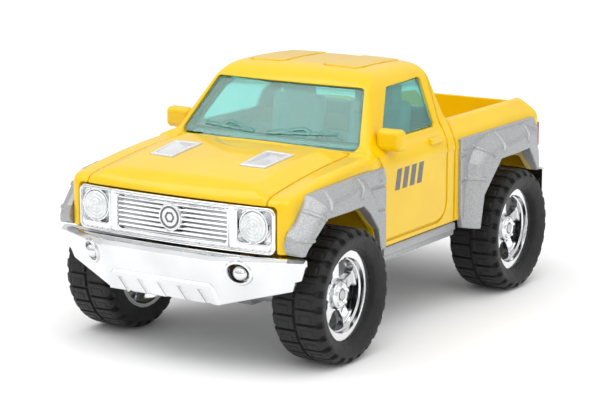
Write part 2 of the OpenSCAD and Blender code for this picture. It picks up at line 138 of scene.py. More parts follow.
def outline(u, v, points, radius=0.0):
    """Field of a closed outline in a plane, its corners rounded outwards by the radius."""
    nearest = np.full(np.broadcast(u, v).shape, 1e9)
    inside = np.zeros(nearest.shape, bool)
    for (u0, v0), (u1, v1) in zip(points, points[1:] + points[:1]):
        du, dv = u1 - u0, v1 - v0
        t = np.clip(((u - u0) * du + (v - v0) * dv) / (du * du + dv * dv), 0, 1)
        nearest = np.minimum(nearest, (u - u0 - t * du) ** 2 + (v - v0 - t * dv) ** 2)
        if dv:
            crosses = ((v0 <= v) != (v1 <= v)) & (u < u0 + (v - v0) * du / dv)
            inside ^= crosses
    return np.where(inside, -1, 1) * np.sqrt(nearest) - radius


def path_distance(u, v, points):
    """Distance to an open line of points in a plane."""
    nearest = np.full(np.broadcast(u, v).shape, 1e9)
    for (u0, v0), (u1, v1) in zip(points[:-1], points[1:]):
        du, dv = u1 - u0, v1 - v0
        t = np.clip(((u - u0) * du + (v - v0) * dv) / (du * du + dv * dv), 0, 1)
        nearest = np.minimum(nearest, (u - u0 - t * du) ** 2 + (v - v0 - t * dv) ** 2)
    return np.sqrt(nearest)


def slope(u, v, start, end):
    """Signed distance to the line through two points, positive on its left."""
    du, dv = end[0] - start[0], end[1] - start[1]
    return ((v - start[1]) * du - (u - start[0]) * dv) / math.hypot(du, dv)


# %% [markdown]
# A field could be worked out on one fine grid, but most of that grid is empty space. So it
# is first sampled coarsely, and then finely only in the blocks that the surface may cross.

# %% Sample a field
BLOCK = 4            # fine cells along each side of a coarse one
CHUNK = 500000       # places worked out at a time, to save memory


def sample_field(field, low, high, cell):
    """Field values on a grid, worked out finely only near the surface."""
    counts = [int(math.ceil((b - a) / cell / BLOCK)) for a, b in zip(low, high)]
    coarse = [a + np.arange(n + 1) * cell * BLOCK for a, n in zip(low, counts)]
    values = field(*np.meshgrid(*coarse, indexing="ij"))
    close = np.abs(values) < cell * BLOCK * 2
    near = np.zeros(counts, bool)
    for i in (0, 1):
        for j in (0, 1):
            for k in (0, 1):
                near |= close[i:i + counts[0], j:j + counts[1], k:k + counts[2]]
    fine = [a + np.arange(n * BLOCK + 1) * cell for a, n in zip(low, counts)]
    signs = np.where(values[:-1, :-1, :-1] < 0, -1.0, 1.0)
    pick = [np.minimum(np.arange(n * BLOCK + 1) // BLOCK, n - 1) for n in counts]
    grid = signs[np.ix_(*pick)]
    mask = near[np.ix_(*pick)]
    for axis in range(3):
        side = np.moveaxis(mask, axis, 0)
        side[BLOCK:-1:BLOCK] |= side[BLOCK - 1:-2:BLOCK]
    found = np.nonzero(mask)
    for start in range(0, len(found[0]), CHUNK):
        part = [f[start:start + CHUNK] for f in found]
        grid[tuple(part)] = field(*[axis[p] for axis, p in zip(fine, part)])
    return grid, fine


# %% [markdown]
# Surface nets turn the samples into a mesh: each small cell that the surface crosses gets
# one point, at the middle of its crossings, and the points of neighbouring cells are joined.
# Marching cubes would do as well, but leave more and thinner triangles.

# %% Surface nets
def surface_nets(grid, axes):
    """Points and quads of the zero surface of a grid."""
    solid = grid < 0
    total = np.zeros([n - 1 for n in grid.shape] + [3])
    hits = np.zeros([n - 1 for n in grid.shape])
    spans = [len(a) - 1 for a in axes]
    for axis in range(3):
        first = np.moveaxis(grid, axis, 0)
        a, b = first[:-1], first[1:]
        crossing = (a < 0) != (b < 0)
        share = np.where(crossing, a / np.where(crossing, a - b, 1), 0)
        for i in (0, 1):
            for j in (0, 1):
                part = (slice(None), slice(i, i + crossing.shape[1] - 1), slice(j, j + crossing.shape[2] - 1))
                hit = np.moveaxis(crossing[part], 0, axis)
                hits += hit
                others = [k for k in range(3) if k != axis]
                total[..., axis] += np.moveaxis(share[part], 0, axis)
                total[..., others[0]] += hit * i
                total[..., others[1]] += hit * j
    where = hits > 0
    cells = np.stack(np.nonzero(where), 1)
    step = axes[0][1] - axes[0][0]
    origin = np.array([a[0] for a in axes])
    points = origin + step * (cells + total[where] / hits[where][:, None])
    index = np.full(hits.shape, -1)
    index[where] = np.arange(len(cells))
    quads = []
    for axis in range(3):
        first = np.moveaxis(solid, axis, 0)
        ids = np.moveaxis(index, axis, 0)
        inner = (slice(None), slice(1, -1), slice(1, -1))
        out = first[:-1][inner] & ~first[1:][inner]
        into = ~first[:-1][inner] & first[1:][inner]
        ring = [ids[:, :-1, :-1], ids[:, 1:, :-1], ids[:, 1:, 1:], ids[:, :-1, 1:]]
        for flag, turned in ((out, axis == 1), (into, axis != 1)):
            corners = np.stack([r[flag] for r in ring], 1)
            quads.append(corners[:, ::-1] if turned else corners)
    return points, np.concatenate(quads)


# %% [markdown]
# The points are then slid along the field's gradient onto its exact zero, where a fillet or
# a groove has its true shape. The gradient is used once more for shading, further down.

# %% Slide onto the surface
def gradient(field, points, step=0.02):
    """How fast the field grows along x, y and z at each point."""
    slopes = []
    for axis in range(3):
        shift = np.zeros(3)
        shift[axis] = step
        ahead, behind = points + shift, points - shift
        slopes.append(field(*ahead.T) - field(*behind.T))
    return np.stack(slopes, 1) / (2 * step)


def settle(field, points, most):
    """Slides points along the gradient onto the surface."""
    for _ in range(3):
        slopes = gradient(field, points)
        length = np.maximum((slopes ** 2).sum(1), 0.05)
        move = np.clip(field(*points.T) / length, -most, most)
        points = points - slopes * move[:, None]
    return points


# %% [markdown]
# A casting goes through the same steps each time: sample, wrap, settle, thin where it has
# more triangles than it needs, and shade. The shading normals come from the field and not
# from the thinned faces, so that gloss paint has no ripples.

# %% Cast a piece
def plain_mesh(name, points, faces):
    """A mesh in metres from points in millimetres."""
    mesh = bpy.data.meshes.new(name)
    mesh.from_pydata((np.asarray(points) * MM).tolist(), [], [list(map(int, f)) for f in faces])
    mesh.update()
    return mesh


def put(name, mesh):
    """A piece in the scene, at the origin, with that mesh."""
    piece = bpy.data.objects.new(name, mesh)
    bpy.context.scene.collection.objects.link(piece)
    return piece


def applied(piece):
    """The piece with its modifiers turned into plain mesh."""
    bpy.context.view_layer.update()
    graph = bpy.context.evaluated_depsgraph_get()
    mesh = bpy.data.meshes.new_from_object(piece.evaluated_get(graph))
    piece.modifiers.clear()
    piece.data = mesh
    mesh.name = piece.name
    return piece


def cast(name, field, low, high, cell, most_tris):
    """A piece wrapped around a field, thinned to about most_tris triangles."""
    grid, axes = sample_field(field, low, high, cell)
    points, quads = surface_nets(grid, axes)
    points = settle(field, points, cell / 2)
    piece = put(name, plain_mesh(name, points, quads))
    if len(quads) * 2 > most_tris:
        thin = piece.modifiers.new("thin", "DECIMATE")
        thin.ratio = most_tris / (len(quads) * 2)
        applied(piece)
    shade_from(piece, field)
    print(name, len(piece.data.vertices), "points,", len(piece.data.polygons), "faces")
    return piece


def shade_from(piece, field):
    """Sets shading normals from the field's gradient."""
    mesh = piece.data
    points = np.zeros(len(mesh.vertices) * 3)
    mesh.vertices.foreach_get("co", points)
    normals = gradient(field, points.reshape(-1, 3) / MM)
    normals /= np.maximum(np.linalg.norm(normals, axis=1), 1e-9)[:, None]
    mesh.shade_smooth()
    mesh.normals_split_custom_set_from_vertices(normals.tolist())


# %% [markdown]
# Every finish is named for its material and how it was made. Colours are written as they
# look on a screen and turned to linear light by one function.

# %% Material helpers
def paint(hex_colour):
    """Linear colour from an sRGB hex value."""
    parts = [int(hex_colour[i:i + 2], 16) / 255 for i in (1, 3, 5)]
    return tuple(c / 12.92 if c <= 0.04045 else ((c + 0.055) / 1.055) ** 2.4 for c in parts) + (1,)


def add(tree, kind, settings=None, links=None):
    """Adds a node, sets its sockets or properties, and links its inputs."""
    node = tree.nodes.new(kind)
    for name, value in (settings or {}).items():
        if isinstance(name, str) and hasattr(node, name):
            setattr(node, name, value)
        else:
            node.inputs[name].default_value = value
    for name, source in (links or {}).items():
        tree.links.new(source, node.inputs[name])
    return node


def finish(name, settings):
    """A new material with a Principled shader; returns the material, its tree and the shader."""
    material = bpy.data.materials.new(name)
    material.use_nodes = True
    tree = material.node_tree
    tree.nodes.clear()
    shader = add(tree, "ShaderNodeBsdfPrincipled", settings)
    add(tree, "ShaderNodeOutputMaterial", links={"Surface": shader.outputs["BSDF"]})
    return material, tree, shader


def place(tree):
    """Object coordinates, in metres."""
    return add(tree, "ShaderNodeTexCoord").outputs["Object"]


def relief(tree, shader, height, depth_mm, strength=1.0):
    """Bump of a real depth from a height pattern."""
    bump = add(tree, "ShaderNodeBump", {"Distance": depth_mm * MM, "Strength": strength},
               {"Height": height})
    tree.links.new(bump.outputs["Normal"], shader.inputs["Normal"])


def noise(tree, size_mm, detail=2.0):
    """Noise whose features are about size_mm across."""
    return add(tree, "ShaderNodeTexNoise", {"Scale": 1 / (size_mm * MM), "Detail": detail},
               {"Vector": place(tree)}).outputs["Fac"]


def between(tree, fac, low, high, out_low, out_high):
    """Maps a pattern from one range to another."""
    return add(tree, "ShaderNodeMapRange", {"From Min": low, "From Max": high, "To Min": out_low,
                                            "To Max": out_high}, {"Value": fac}).outputs["Result"]


def tint(tree, fac, first, second):
    """Mixes two colours by a pattern."""
    mix = add(tree, "ShaderNodeMix", {"data_type": "RGBA"})
    mix.inputs[6].default_value = paint(first)
    mix.inputs[7].default_value = paint(second)
    tree.links.new(fac, mix.inputs[0])
    return mix.outputs[2]


def mottled(name, settings, tones, mottle, bump):
    """A finish whose colour wanders between two tones, over a fine relief.

    mottle is the size in mm and detail of the wandering; bump is the size, detail, depth in
    mm and strength of the relief."""
    material, tree, shader = finish(name, settings)
    cloud = between(tree, noise(tree, *mottle), 0.3, 0.7, 0, 1)
    tree.links.new(tint(tree, cloud, *tones), shader.inputs["Base Color"])
    relief(tree, shader, noise(tree, *bump[:2]), *bump[2:])
    return material, tree, shader


def uneven_gloss(tree, shader, size_mm, detail, low, high):
    """Lets the roughness wander between two values."""
    gloss = between(tree, noise(tree, size_mm, detail), 0.3, 0.7, low, high)
    tree.links.new(gloss, shader.inputs["Roughness"])


# %% [markdown]
# Sprayed and baked enamel on zinc is a thick, even gloss coat. It has a very faint orange
# peel, about a millimetre across, and its colour deepens a little where the coat is thick. A
# picture of paint would slide at the edges, so the tone and the peel are noise in space.

# %% Enamel on die-cast zinc
# a clear gloss layer over a strong yellow: sharp lights on top of a colour that stays deep
enamel, tree, shader = finish("Yellow baked enamel on zinc", {
    "Roughness": 0.3, "IOR": 1.5, "Specular IOR Level": 0.22, "Coat Weight": 0.5, "Coat Roughness": 0.05,
    "Coat IOR": 1.5})
peel = noise(tree, 1.2)
depth = between(tree, noise(tree, 14), 0.35, 0.65, 0, 1)
tree.links.new(tint(tree, depth, "#EABF00", "#EEC504"), shader.inputs["Base Color"])
relief(tree, shader, peel, 0.012, 0.25)


def wear(piece, material):
    piece.data.materials.clear()
    piece.data.materials.append(material)
    return piece


def dress(piece, body, slot, material, *nodes):
    """Gives a finished piece its material and body, and hides the CAD nodes it stands for. The slot is not
    used.
    """
    if material:
        wear(piece, material)
    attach(piece, body)
    if nodes:
        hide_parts(*nodes)
    return piece


def moulded(name, field, low, high, cell, most_tris, slot, material, *nodes):
    """A cast piece that is fixed to the truck's body, in its finish."""
    return dress(cast(name, field, low, high, cell, most_tris), "truck", slot, material, *nodes)


# %% [markdown]
# The body is one casting: cab, hood, doors and cargo bed. Its outside is where a few big
# planes and gentle arcs meet with fillets, and its inside is the same shape moved inwards
# by the wall, left open below. Door gaps are shallow grooves that follow lines on it.

# %% Outside of the body
def hood_side(y):
    """Height of the hood along its panel gap."""
    u = np.clip((y - NOSE_Y) / (SCREEN_Y - NOSE_Y), -0.1, 1.2)
    return 36.9 + 7.0 * u - 2.75 * u * u


def hood_height(x, y):
    """Height of the hood: a crown between two creases, with a dish in front of the screen."""
    crown = join(join(1.7 + 0 * x, (22.7 - x) * 0.36, 0.35), (y - NOSE_Y - 0.3) * 0.42, 0.35)
    crown = join(crown, (SCREEN_Y - 0.4 - y) * 0.5, 0.4)
    crown = np.maximum(crown, 0) + 0.2 * (1 - np.clip(x / 17, 0, 1) ** 2) * ramp(y, NOSE_Y + 1, NOSE_Y + 5)
    dish = np.sqrt((x / 12.5) ** 2 + ((y - SCREEN_Y - 2.5) / 13.5) ** 2)
    dip = 0.75 * ramp(-dish, -1.03, -0.82) * ramp(SCREEN_Y - y, 0.2, 3.5)
    return hood_side(y) + crown - dip


def cab_field(x, y, z):
    """The cab above the doors: five leaning planes and a crowned roof."""
    side = slope(x, z, (25.35, 42.5), (20.3, 54.5)) * -1
    glass_plane = slope(y, z, (SCREEN_Y + 0.1, 41.9), (SCREEN_Y + 9.5, 53.8))
    glass_plane = glass_plane - 0.0035 * (14 ** 2 - np.minimum(x, 25) ** 2) / 2
    back = slope(y, z, (CAB_BACK_Y, 43.5), (CAB_BACK_Y - 1.1, 56)) * -1
    roof = z - (57.48 - 0.0012 * x ** 2 - 0.0022 * (y - (SCREEN_Y + 22)) ** 2)
    cab = meet(side, glass_plane, 2.0)
    cab = meet(cab, back, 1.8)
    return np.maximum(meet(cab, roof, 3.7), 38 - z)


def lower_field(x, y, z):
    """Hood, fenders, doors and the outside of the cargo bed."""
    side = x - SIDE_X
    nose = NOSE_Y + 0.0021 * x ** 2 - y
    fender = meet(z - hood_height(x, y), side, 2.2)
    fender = meet(fender, y - SCREEN_Y - 1.2, 0.6)
    fender = meet(fender, nose, 2.6)
    shoulder = slope(x, z, (SIDE_X, 39.6), (25.2, 42.7)) * -1
    rear_corner = slope(y, z, (TAIL_Y - 0.3, 40.4), (TAIL_Y - 3.0, 43.5)) * -1
    bed_top = 41.3 + 2.2 * ramp(y, CAB_BACK_Y - 6, CAB_BACK_Y - 2)
    bed = meet(meet(shoulder, side, 1.2), z - bed_top, 0.7)
    bed = meet(meet(bed, y - TAIL_Y, 1.2), rear_corner, 0.8)
    bed = np.maximum(bed, SCREEN_Y - 0.6 - y)
    return join(fender, bed, 1.6)


def skin_field(x, y, z):
    """Outside of the whole body, as if it were solid and had no floor."""
    return join(lower_field(x, y, z), cab_field(x, y, z), 1.6)


# %% [markdown]
# The openings and the panel gaps are drawn as outlines and lines, seen from the side, from
# above or from the front. An outline cuts right through; a line only scribes a groove. They
# are points in mm, most of them measured from an axle, and the right side mirrors the left.

# %% Openings and lines of the body
FRONT_ARCH = [(-30, 10), (-30, 26), (-16.6, 26), (-15.7, 27.5), (-9.9, 32.6), (7.2, 32.0),
              (10.7, 29.8), (15, 25.6), (16, 20), (16.4, 10)]
REAR_ARCH = [(-18.8, 10), (-18.5, 18), (-16.5, 25.5), (-9.7, 33), (7.2, 32.8), (15, 26),
             (30, 26), (30, 10)]
SIDE_GLASS = [(FRONT_Y + 26.3, 44.2), (FRONT_Y + 33.4, 52.2), (REAR_Y - 28.9, 52.6),
              (REAR_Y - 29.5, 43.8), (FRONT_Y + 26.8, 43.8)]
SCREEN_GLASS = [(-21.9, 42.6), (21.9, 42.6), (18.4, 52.5), (-18.4, 52.5)]
REAR_GLASS = [(-18, 46.5), (18, 46.5), (16, 52.6), (-16, 52.6)]
ROOF_PANEL = [(6.6, 17.1), (13.0, 17.1), (13.0, 33.2), (6.6, 33.2)]
VENT = [(-8.65, -6.95), (-14.9, -6.5), (-15.6, 3.8), (-8.3, 3.9)]


def arc_points(centre, radius, start, end, steps=6):
    """Points along an arc, its ends given in degrees."""
    angles = [math.radians(start + (end - start) * k / steps) for k in range(steps + 1)]
    return [(centre[0] + radius * math.cos(a), centre[1] + radius * math.sin(a)) for a in angles]


DOOR_LINE = ([(FRONT_Y + 18.6, 40.2), (FRONT_Y + 19.0, 38.6), (FRONT_Y + 20.1, 36),
              (FRONT_Y + 20.1, 21.7), (REAR_Y - 32.5, 21.7)]
             + arc_points((REAR_Y - 32.5, 26.3), 4.6, -90, 0)
             + [(REAR_Y - 27.9, 38.6), (REAR_Y - 26.6, 42.4), (REAR_Y - 24.9, 53.6)])
CAB_LINE = [(REAR_Y - 24.2, 21), (REAR_Y - 24.2, 39.7), (REAR_Y - 23.2, 42.6), (REAR_Y - 23.1, 44.5)]
HOOD_LINE = [(22.9, NOSE_Y - 2), (22.9, NOSE_Y + 4), (22.6, SCREEN_Y - 4), (22.4, SCREEN_Y - 1.2)]
COWL_LINE = [(0, SCREEN_Y - 2.5), (15, SCREEN_Y - 2.1), (22.4, SCREEN_Y - 1.2)]


def engrave(body, skin, line, width, depth):
    """A groove of that width along a line, down to that depth below the skin."""
    return cut(body, np.maximum(line - width / 2, -skin - depth), 0.12)


def body_field(x, y, z):
    x = np.abs(x)
    skin = skin_field(x, y, z)
    body = skin
    # two raised panels on the roof
    roof_panel = outline(x, y - SCREEN_Y, ROOF_PANEL, 1.6)
    body = body - 0.2 * ramp(-roof_panel, -0.1, 0.3) * ramp(z, 54.5, 55.5)
    body = engrave(body, skin, np.maximum(np.abs(roof_panel), 54 - z), 0.4, 0.22)
    # the hollow, which stops at the nose, the tailgate and the back of the cab
    inside = np.maximum(skin + WALL, slab(y, NOSE_Y + 4.6, TAIL_Y - 2))
    inside = np.maximum(inside, np.minimum(y - (CAB_BACK_Y - WALL), z - 30))
    body = cut(body, inside, 0.5)
    # cargo bed, grille opening, wheel arches and open bottom
    body = cut(body, block(x, y, z, (-30, CAB_BACK_Y + 1.9, 31.5), (23.2, TAIL_Y - 2.4, 60), 1.0), 0.6)
    grille = block(x, y, z, (-30, NOSE_Y - 9, 10), (25.3, NOSE_Y + 3, 35.7), 1.0)
    body = cut(body, grille, 0.4)
    for axle_y, points in ((FRONT_Y, FRONT_ARCH), (REAR_Y, REAR_ARCH)):
        body = cut(body, np.maximum(outline(y - axle_y, z, points), 24.6 - x), 0.4)
    floor = np.where((y < FRONT_Y - 15) | (y > REAR_Y + 15), 26.0, 20.4)
    body = np.maximum(body, floor - z)
    # windows, then the pockets of the scoops and tail lamps
    body = cut(body, np.maximum(outline(y, z, SIDE_GLASS, 1.0), 15 - x), 0.5)
    screen = np.maximum(outline(x, z, SCREEN_GLASS, 1.2), slab(y, SCREEN_Y - 0.5, SCREEN_Y + 14))
    body = cut(body, screen, 0.5)
    body = cut(body, np.maximum(outline(x, z, REAR_GLASS, 1.0), np.abs(y - CAB_BACK_Y) - 5), 0.5)
    vent = outline(x, y - FRONT_Y, [(-u, v) for u, v in VENT])
    body = cut(body, np.maximum(vent, np.maximum(-skin - 0.9, 30 - z)), 0.3)
    lamp = block(x, y, z, (22.5, TAIL_Y - 0.7, 31.1), (27.9, TAIL_Y + 3, 37.5), 0.1)
    body = cut(body, lamp, 0.1)
    # door, cab, hood and cowl gaps, and the door handle
    on_side = np.maximum(path_distance(y, z, DOOR_LINE), 18 - x)
    on_side = np.minimum(on_side, np.maximum(path_distance(y, z, CAB_LINE) - 0.12, 18 - x))
    body = engrave(body, skin, on_side, 0.42, 0.5)
    on_top = np.minimum(path_distance(x, y, HOOD_LINE), path_distance(x, y, COWL_LINE))
    body = engrave(body, skin, np.maximum(on_top, 30 - z), 0.36, 0.45)
    handle = block(x, y, z, (26.0, REAR_Y - 35.6, 39.8), (28.3, REAR_Y - 30.4, 41.2), 0.35)
    return join(body, handle, 0.25)


# %% Cast the body
BODY_CELL, BODY_TRIS = ((0.3, 195000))
moulded("body_casting", body_field, (-29.0, NOSE_Y - 1, 19.6), (29.0, TAIL_Y + 1, 58.4),
        BODY_CELL, BODY_TRIS, "body_enamel", enamel, "body_shell")

# %% [markdown]
# The other finishes are mostly plastics. Silver mouldings have fine metal flake in the resin,
# so they glitter a little but are never mirror-like. Plated parts are the same plastic under
# a bright vacuum-deposited chrome. Rubber is dark grey, not black, and has a soft sheen.

# %% Plastics and plating
# aluminium flake in grey resin: a soft metallic glow with a fine, even sparkle
silver, tree, shader = finish("Silver flake ABS, moulded", {"Metallic": 0.5, "Roughness": 0.45})
# flake is 0.1 mm in the resin, and is drawn at 0.3 mm so that it shows
flake = add(tree, "ShaderNodeTexVoronoi", {"Scale": 1 / (0.3 * MM)}, {"Vector": place(tree)})
glint = between(tree, flake.outputs["Distance"], 0.1, 0.6, 0, 1)
tree.links.new(tint(tree, glint, "#BFC0C1", "#A2A4A6"), shader.inputs["Base Color"])
uneven_gloss(tree, shader, 3, 2, 0.43, 0.47)
relief(tree, shader, noise(tree, 0.4), 0.006, 0.2)

# lacquer lies thicker than resin, so the scoops are paler and a little wet
bright_silver, tree, shader = mottled(
    "Bright silver lacquer on ABS, sprayed", {"Metallic": 0.4, "Roughness": 0.3},
    ("#D9DADB", "#E6E7E8"), (0.5, 3), (0.4, 2, 0.005, 0.2))

# a mirror only microns thick, which wavers where the plastic under it sank
chrome, tree, shader = mottled(
    "Vacuum-plated chrome on ABS", {"Metallic": 1}, ("#DFE0E2", "#EDEEEF"), (9, 2), (2.5, 2, 0.01, 0.1))
uneven_gloss(tree, shader, 4, 2, 0.07, 0.15)

# carbon black gives a deep, dull tone, with a grey bloom where light grazes it
rubber, tree, shader = mottled(
    "Tyre rubber, compression moulded",
    {"Sheen Weight": 0.08, "Sheen Roughness": 0.5, "Specular IOR Level": 0.4},
    ("#101011", "#171718"), (2.2, 4), (0.35, 3, 0.02, 0.5))
uneven_gloss(tree, shader, 1.5, 3, 0.52, 0.68)

# clear resin with a teal dye: what is behind stays sharp, and gets its colour
tinted, tree, shader = mottled(
    "Teal clear polystyrene, moulded", {"Roughness": 0.04, "IOR": 1.55, "Transmission Weight": 0.88},
    ("#A2EDE6", "#B0F2EC"), (8, 2), (5, 2, 0.02, 0.3))

# a clear lens over a plated seat: mostly bright, with a soft silver depth
lens, tree, shader = mottled(
    "Clear polystyrene lens, moulded",
    {"Roughness": 0.06, "IOR": 1.6, "Metallic": 0.35, "Transmission Weight": 0.2},
    ("#EDF1F2", "#F8FAFA"), (3, 2), (1.5, 2, 0.01, 0.3))

# dyed lens on a dark seat: light goes a little way in, so it glows at its ribs
red_lens, tree, shader = mottled(
    "Red polystyrene lens, moulded", {"Roughness": 0.1, "IOR": 1.55, "Transmission Weight": 0.35},
    ("#B30E12", "#C8171A"), (3, 2), (1.5, 2, 0.01, 0.3))

# a spark-eroded mould leaves a fine grain that takes all the shine off
grey_abs, tree, shader = mottled(
    "Light grey ABS, spark-textured", {"Roughness": 0.55},
    ("#DDDFDF", "#E6E8E8"), (5, 3), (0.4, 3, 0.03, 0.5))

# tough and slightly waxy, with dull grey lights
dark_nylon, tree, shader = mottled(
    "Black nylon, moulded", {"Roughness": 0.5}, ("#2B2C2E", "#353638"), (3, 3), (0.5, 3, 0.02, 0.5))
print(len(bpy.data.materials), "materials so far")

# %% [markdown]
# The motor's small parts keep their plain mechanical shapes. Turned and drawn metals carry
# fine lines around their length, so their roughness changes in thin bands.

# %% Metals and gear plastic
def metal(name, dark, bright, roughness, band_mm):
    """Bare metal with fine tool marks along X, band_mm apart."""
    material, tree, shader = finish(name, {"Metallic": 1})
    bands = add(tree, "ShaderNodeTexWave", {"Scale": 1 / (band_mm * MM * 20), "Distortion": 1.5,
                                            "Detail": 2}, {"Vector": place(tree)}).outputs["Fac"]
    tree.links.new(between(tree, bands, 0, 1, roughness * 0.8, roughness * 1.25), shader.inputs["Roughness"])
    tree.links.new(tint(tree, noise(tree, 2, 3), dark, bright), shader.inputs["Base Color"])
    relief(tree, shader, bands, 0.01, 0.3)
    return material


# steel is a neutral grey, zinc a cooler and duller one, and tempering turns a spring blue
axle_steel = metal("Drawn steel wire", "#B4B6B8", "#CFD1D3", 0.25, 0.2)
zinc_screw = metal("Zinc-plated steel, rolled thread", "#A9ADB0", "#C6CACC", 0.32, 0.3)
brass = metal("Turned brass", "#C79A3B", "#DDB257", 0.28, 0.2)
spring_steel = metal("Blued spring steel strip", "#4A515C", "#626A76", 0.34, 0.3)
# undyed acetal is a milky white that light enters a little way
gear_acetal, tree, shader = mottled(
    "Natural acetal, moulded", {"Roughness": 0.38, "Subsurface Weight": 0.1, "Subsurface Scale": 0.5 * MM},
    ("#E9E6DC", "#F3F0E8"), (2, 2), (0.6, 2, 0.01, 0.3))
# a thin satin film of ink, a little uneven as a pad leaves it
badge_ink, tree, shader = mottled(
    "Grey printing ink on ABS, pad-printed", {"Roughness": 0.35},
    ("#5E6164", "#6E7174"), (1, 3), (0.4, 2, 0.005, 0.3))

# %% [markdown]
# The truck is the same on both sides. A cast piece is made once for the left side, and the
# right one is its mesh turned over, which keeps the two exactly alike.

# %% Moved and turned copies
def copy_of(source, name, field, shift=(0, 0, 0), flip=False):
    """A copy of a cast piece, shifted in mm and mirrored across the middle when flip is set."""
    mesh = source.data.copy()
    mesh.name = name
    mesh.transform(Matrix.Translation(Vector(shift) * MM))
    if flip:
        turn_over(mesh)
    piece = put(name, mesh)
    side = -1 if flip else 1
    shade_from(piece, lambda x, y, z: field(side * x - shift[0], y - shift[1], z - shift[2]))
    return piece


def turn_over(mesh):
    """Mirrors a mesh from the left side to the right, with its faces still outwards."""
    mesh.transform(Matrix.Scale(-1, 4, (1, 0, 0)))
    mesh.flip_normals()


def pair(name, field, low, high, cell, most_tris, slot, material, node):
    """A moulded piece for the left side and its copy for the right, with the side in both names."""
    left = moulded(name % "left", field, low, high, cell, most_tris, slot, material, node % "left")
    right = copy_of(left, name % "right", field, flip=True)
    dress(right, "truck", slot, material, node % "right")


# %% [markdown]
# The arch flares are separate silver mouldings that clip over the body side. Each swells
# outwards from its outer edge to a broad lip, widest ahead of the axle. Short ribs run down
# the slope, and scribed lines and rivet heads mark the flat ends of the sheet.

# %% Shape of the flares
FLAT_X, SLOPE, LIP_ROUND = 28.9, 1.4, 1.1
FRONT_SHEET = [(16.2, 20.4), (19.85, 20.4), (19.85, 36.0), (18.8, 38.5), (6.9, 38.4), (-7.2, 37.9),
               (-11.3, 37.5), (-14, 34.8), (-18.1, 30.2), (-18.9, 28.3), (-18.4, 26.9), (-17.5, 26.05)]
FRONT_SWELL = [(17.7, 0), (17.7, 20), (16.9, 27), (13.9, 33.5), (10, 37.2), (4.5, 38.3), (-7.2, 38.1),
               (-11.3, 37.6), (-14, 34.9), (-18.1, 30.3), (-19.2, 28.3), (-19.4, 25), (-19.4, 0)]
REAR_SHEET = [(-17.8, 17.7), (-21.7, 18.4), (-22.6, 22), (-22.8, 39.3), (14.0, 39.3), (16.3, 36.6),
              (16.4, 26.4), (15.4, 26.05)]
REAR_SWELL = [(-21.9, 0), (-21.9, 16), (-20.8, 27), (-19.4, 33.4), (-16.4, 37.2), (-10, 38.8), (8.5, 38.5),
              (13.6, 36.3), (16.2, 31), (17.0, 25), (17.0, 0)]
FLARES = {
    "front": {"axle_y": FRONT_Y, "sheet": FRONT_SHEET + FRONT_ARCH[2:8], "swell": FRONT_SWELL,
              "lip": ([-19, -15, -9.9, 0, 7.2, 12, 15, 18], [31.0, 32.0, 32.6, 31.8, 30.8, 30.1, 29.8, 29.7]),
              "ribs": [[(-6.1, 37.8), (-8.7, 34.4)], [(7.7, 37.5), (5.8, 34.2)],
                       [(-13.8, 34.8), (-11.0, 32.9)], [(-18.2, 29.6), (-14.8, 29.1)]],
              "scribes": [[(13.4, 34.6), (20, 34.3)], [(16.0, 29.4), (20, 29.2)]],
              "rivets": [(17.2, 36.6)]},
    "rear": {"axle_y": REAR_Y, "sheet": REAR_SHEET + REAR_ARCH[5:1:-1], "swell": REAR_SWELL,
             "lip": ([-22, -17, -9.7, 0, 7.2, 15, 18], [30.8, 31.8, 32.6, 32.1, 31.3, 29.7, 29.3]),
             "ribs": [[(-6.6, 38.4), (-8.8, 34.9)], [(7.4, 38.1), (5.6, 35.0)],
                      [(-17.1, 36.9), (-12.9, 34.4)], [(-20.8, 29.9), (-16.6, 29.4)]],
             "scribes": [[(-24, 34.9), (-19.9, 35.4)], [(-24, 29.3), (-21.0, 29.5)]],
             "rivets": [(-20.9, 37.5), (14.4, 36.9)]},
}


def flare_field(shape):
    """Field of a left flare: a sheet that rises to the lip, with its ribs, scribes and rivets."""
    def field(x, y, z):
        y = y - shape["axle_y"]
        rise = FLAT_X + SLOPE * np.maximum(-outline(y, z, shape["swell"]), 0)
        out = join(rise, np.interp(y, *shape["lip"]), LIP_ROUND)
        for rib in shape["ribs"]:
            out = out + 0.45 * ramp(-path_distance(y, z, rib), -0.55, -0.25)
        for scribe in shape["scribes"]:
            out = out - 0.3 * ramp(-path_distance(y, z, scribe), -0.34, -0.14)
        for rivet in shape["rivets"]:
            away = np.hypot(y - rivet[0], z - rivet[1])
            out = out + 0.25 * ramp(-away, -0.75, -0.45) - 0.12 * ramp(-np.abs(away - 1.0), -0.25, -0.1)
        out = np.minimum(out, 33.1)
        edge = outline(y, z, shape["sheet"]) + 0.06
        return np.maximum(meet(x - out, edge, 0.5), SIDE_X - 0.5 - x)
    return field


# %% Cast the flares
FLARE_CELL = 0.22
for end, shape in FLARES.items():
    y = shape["axle_y"]
    pair("flare_%s_%%s_moulding" % end, flare_field(shape), (27.1, y - 24, 16.9), (33.6, y + 21, 40.6),
         FLARE_CELL, 60000, "silver_flake", silver, "flare_%s_%%s" % end)

# %% [markdown]
# Door mirrors are small castings in body colour. The head is a soft block on a short arm, and
# its rear face is hollowed to take the mirror.

# %% Door mirrors
MIRROR_AT = (28.0, FRONT_Y + 22.8, 43.7)


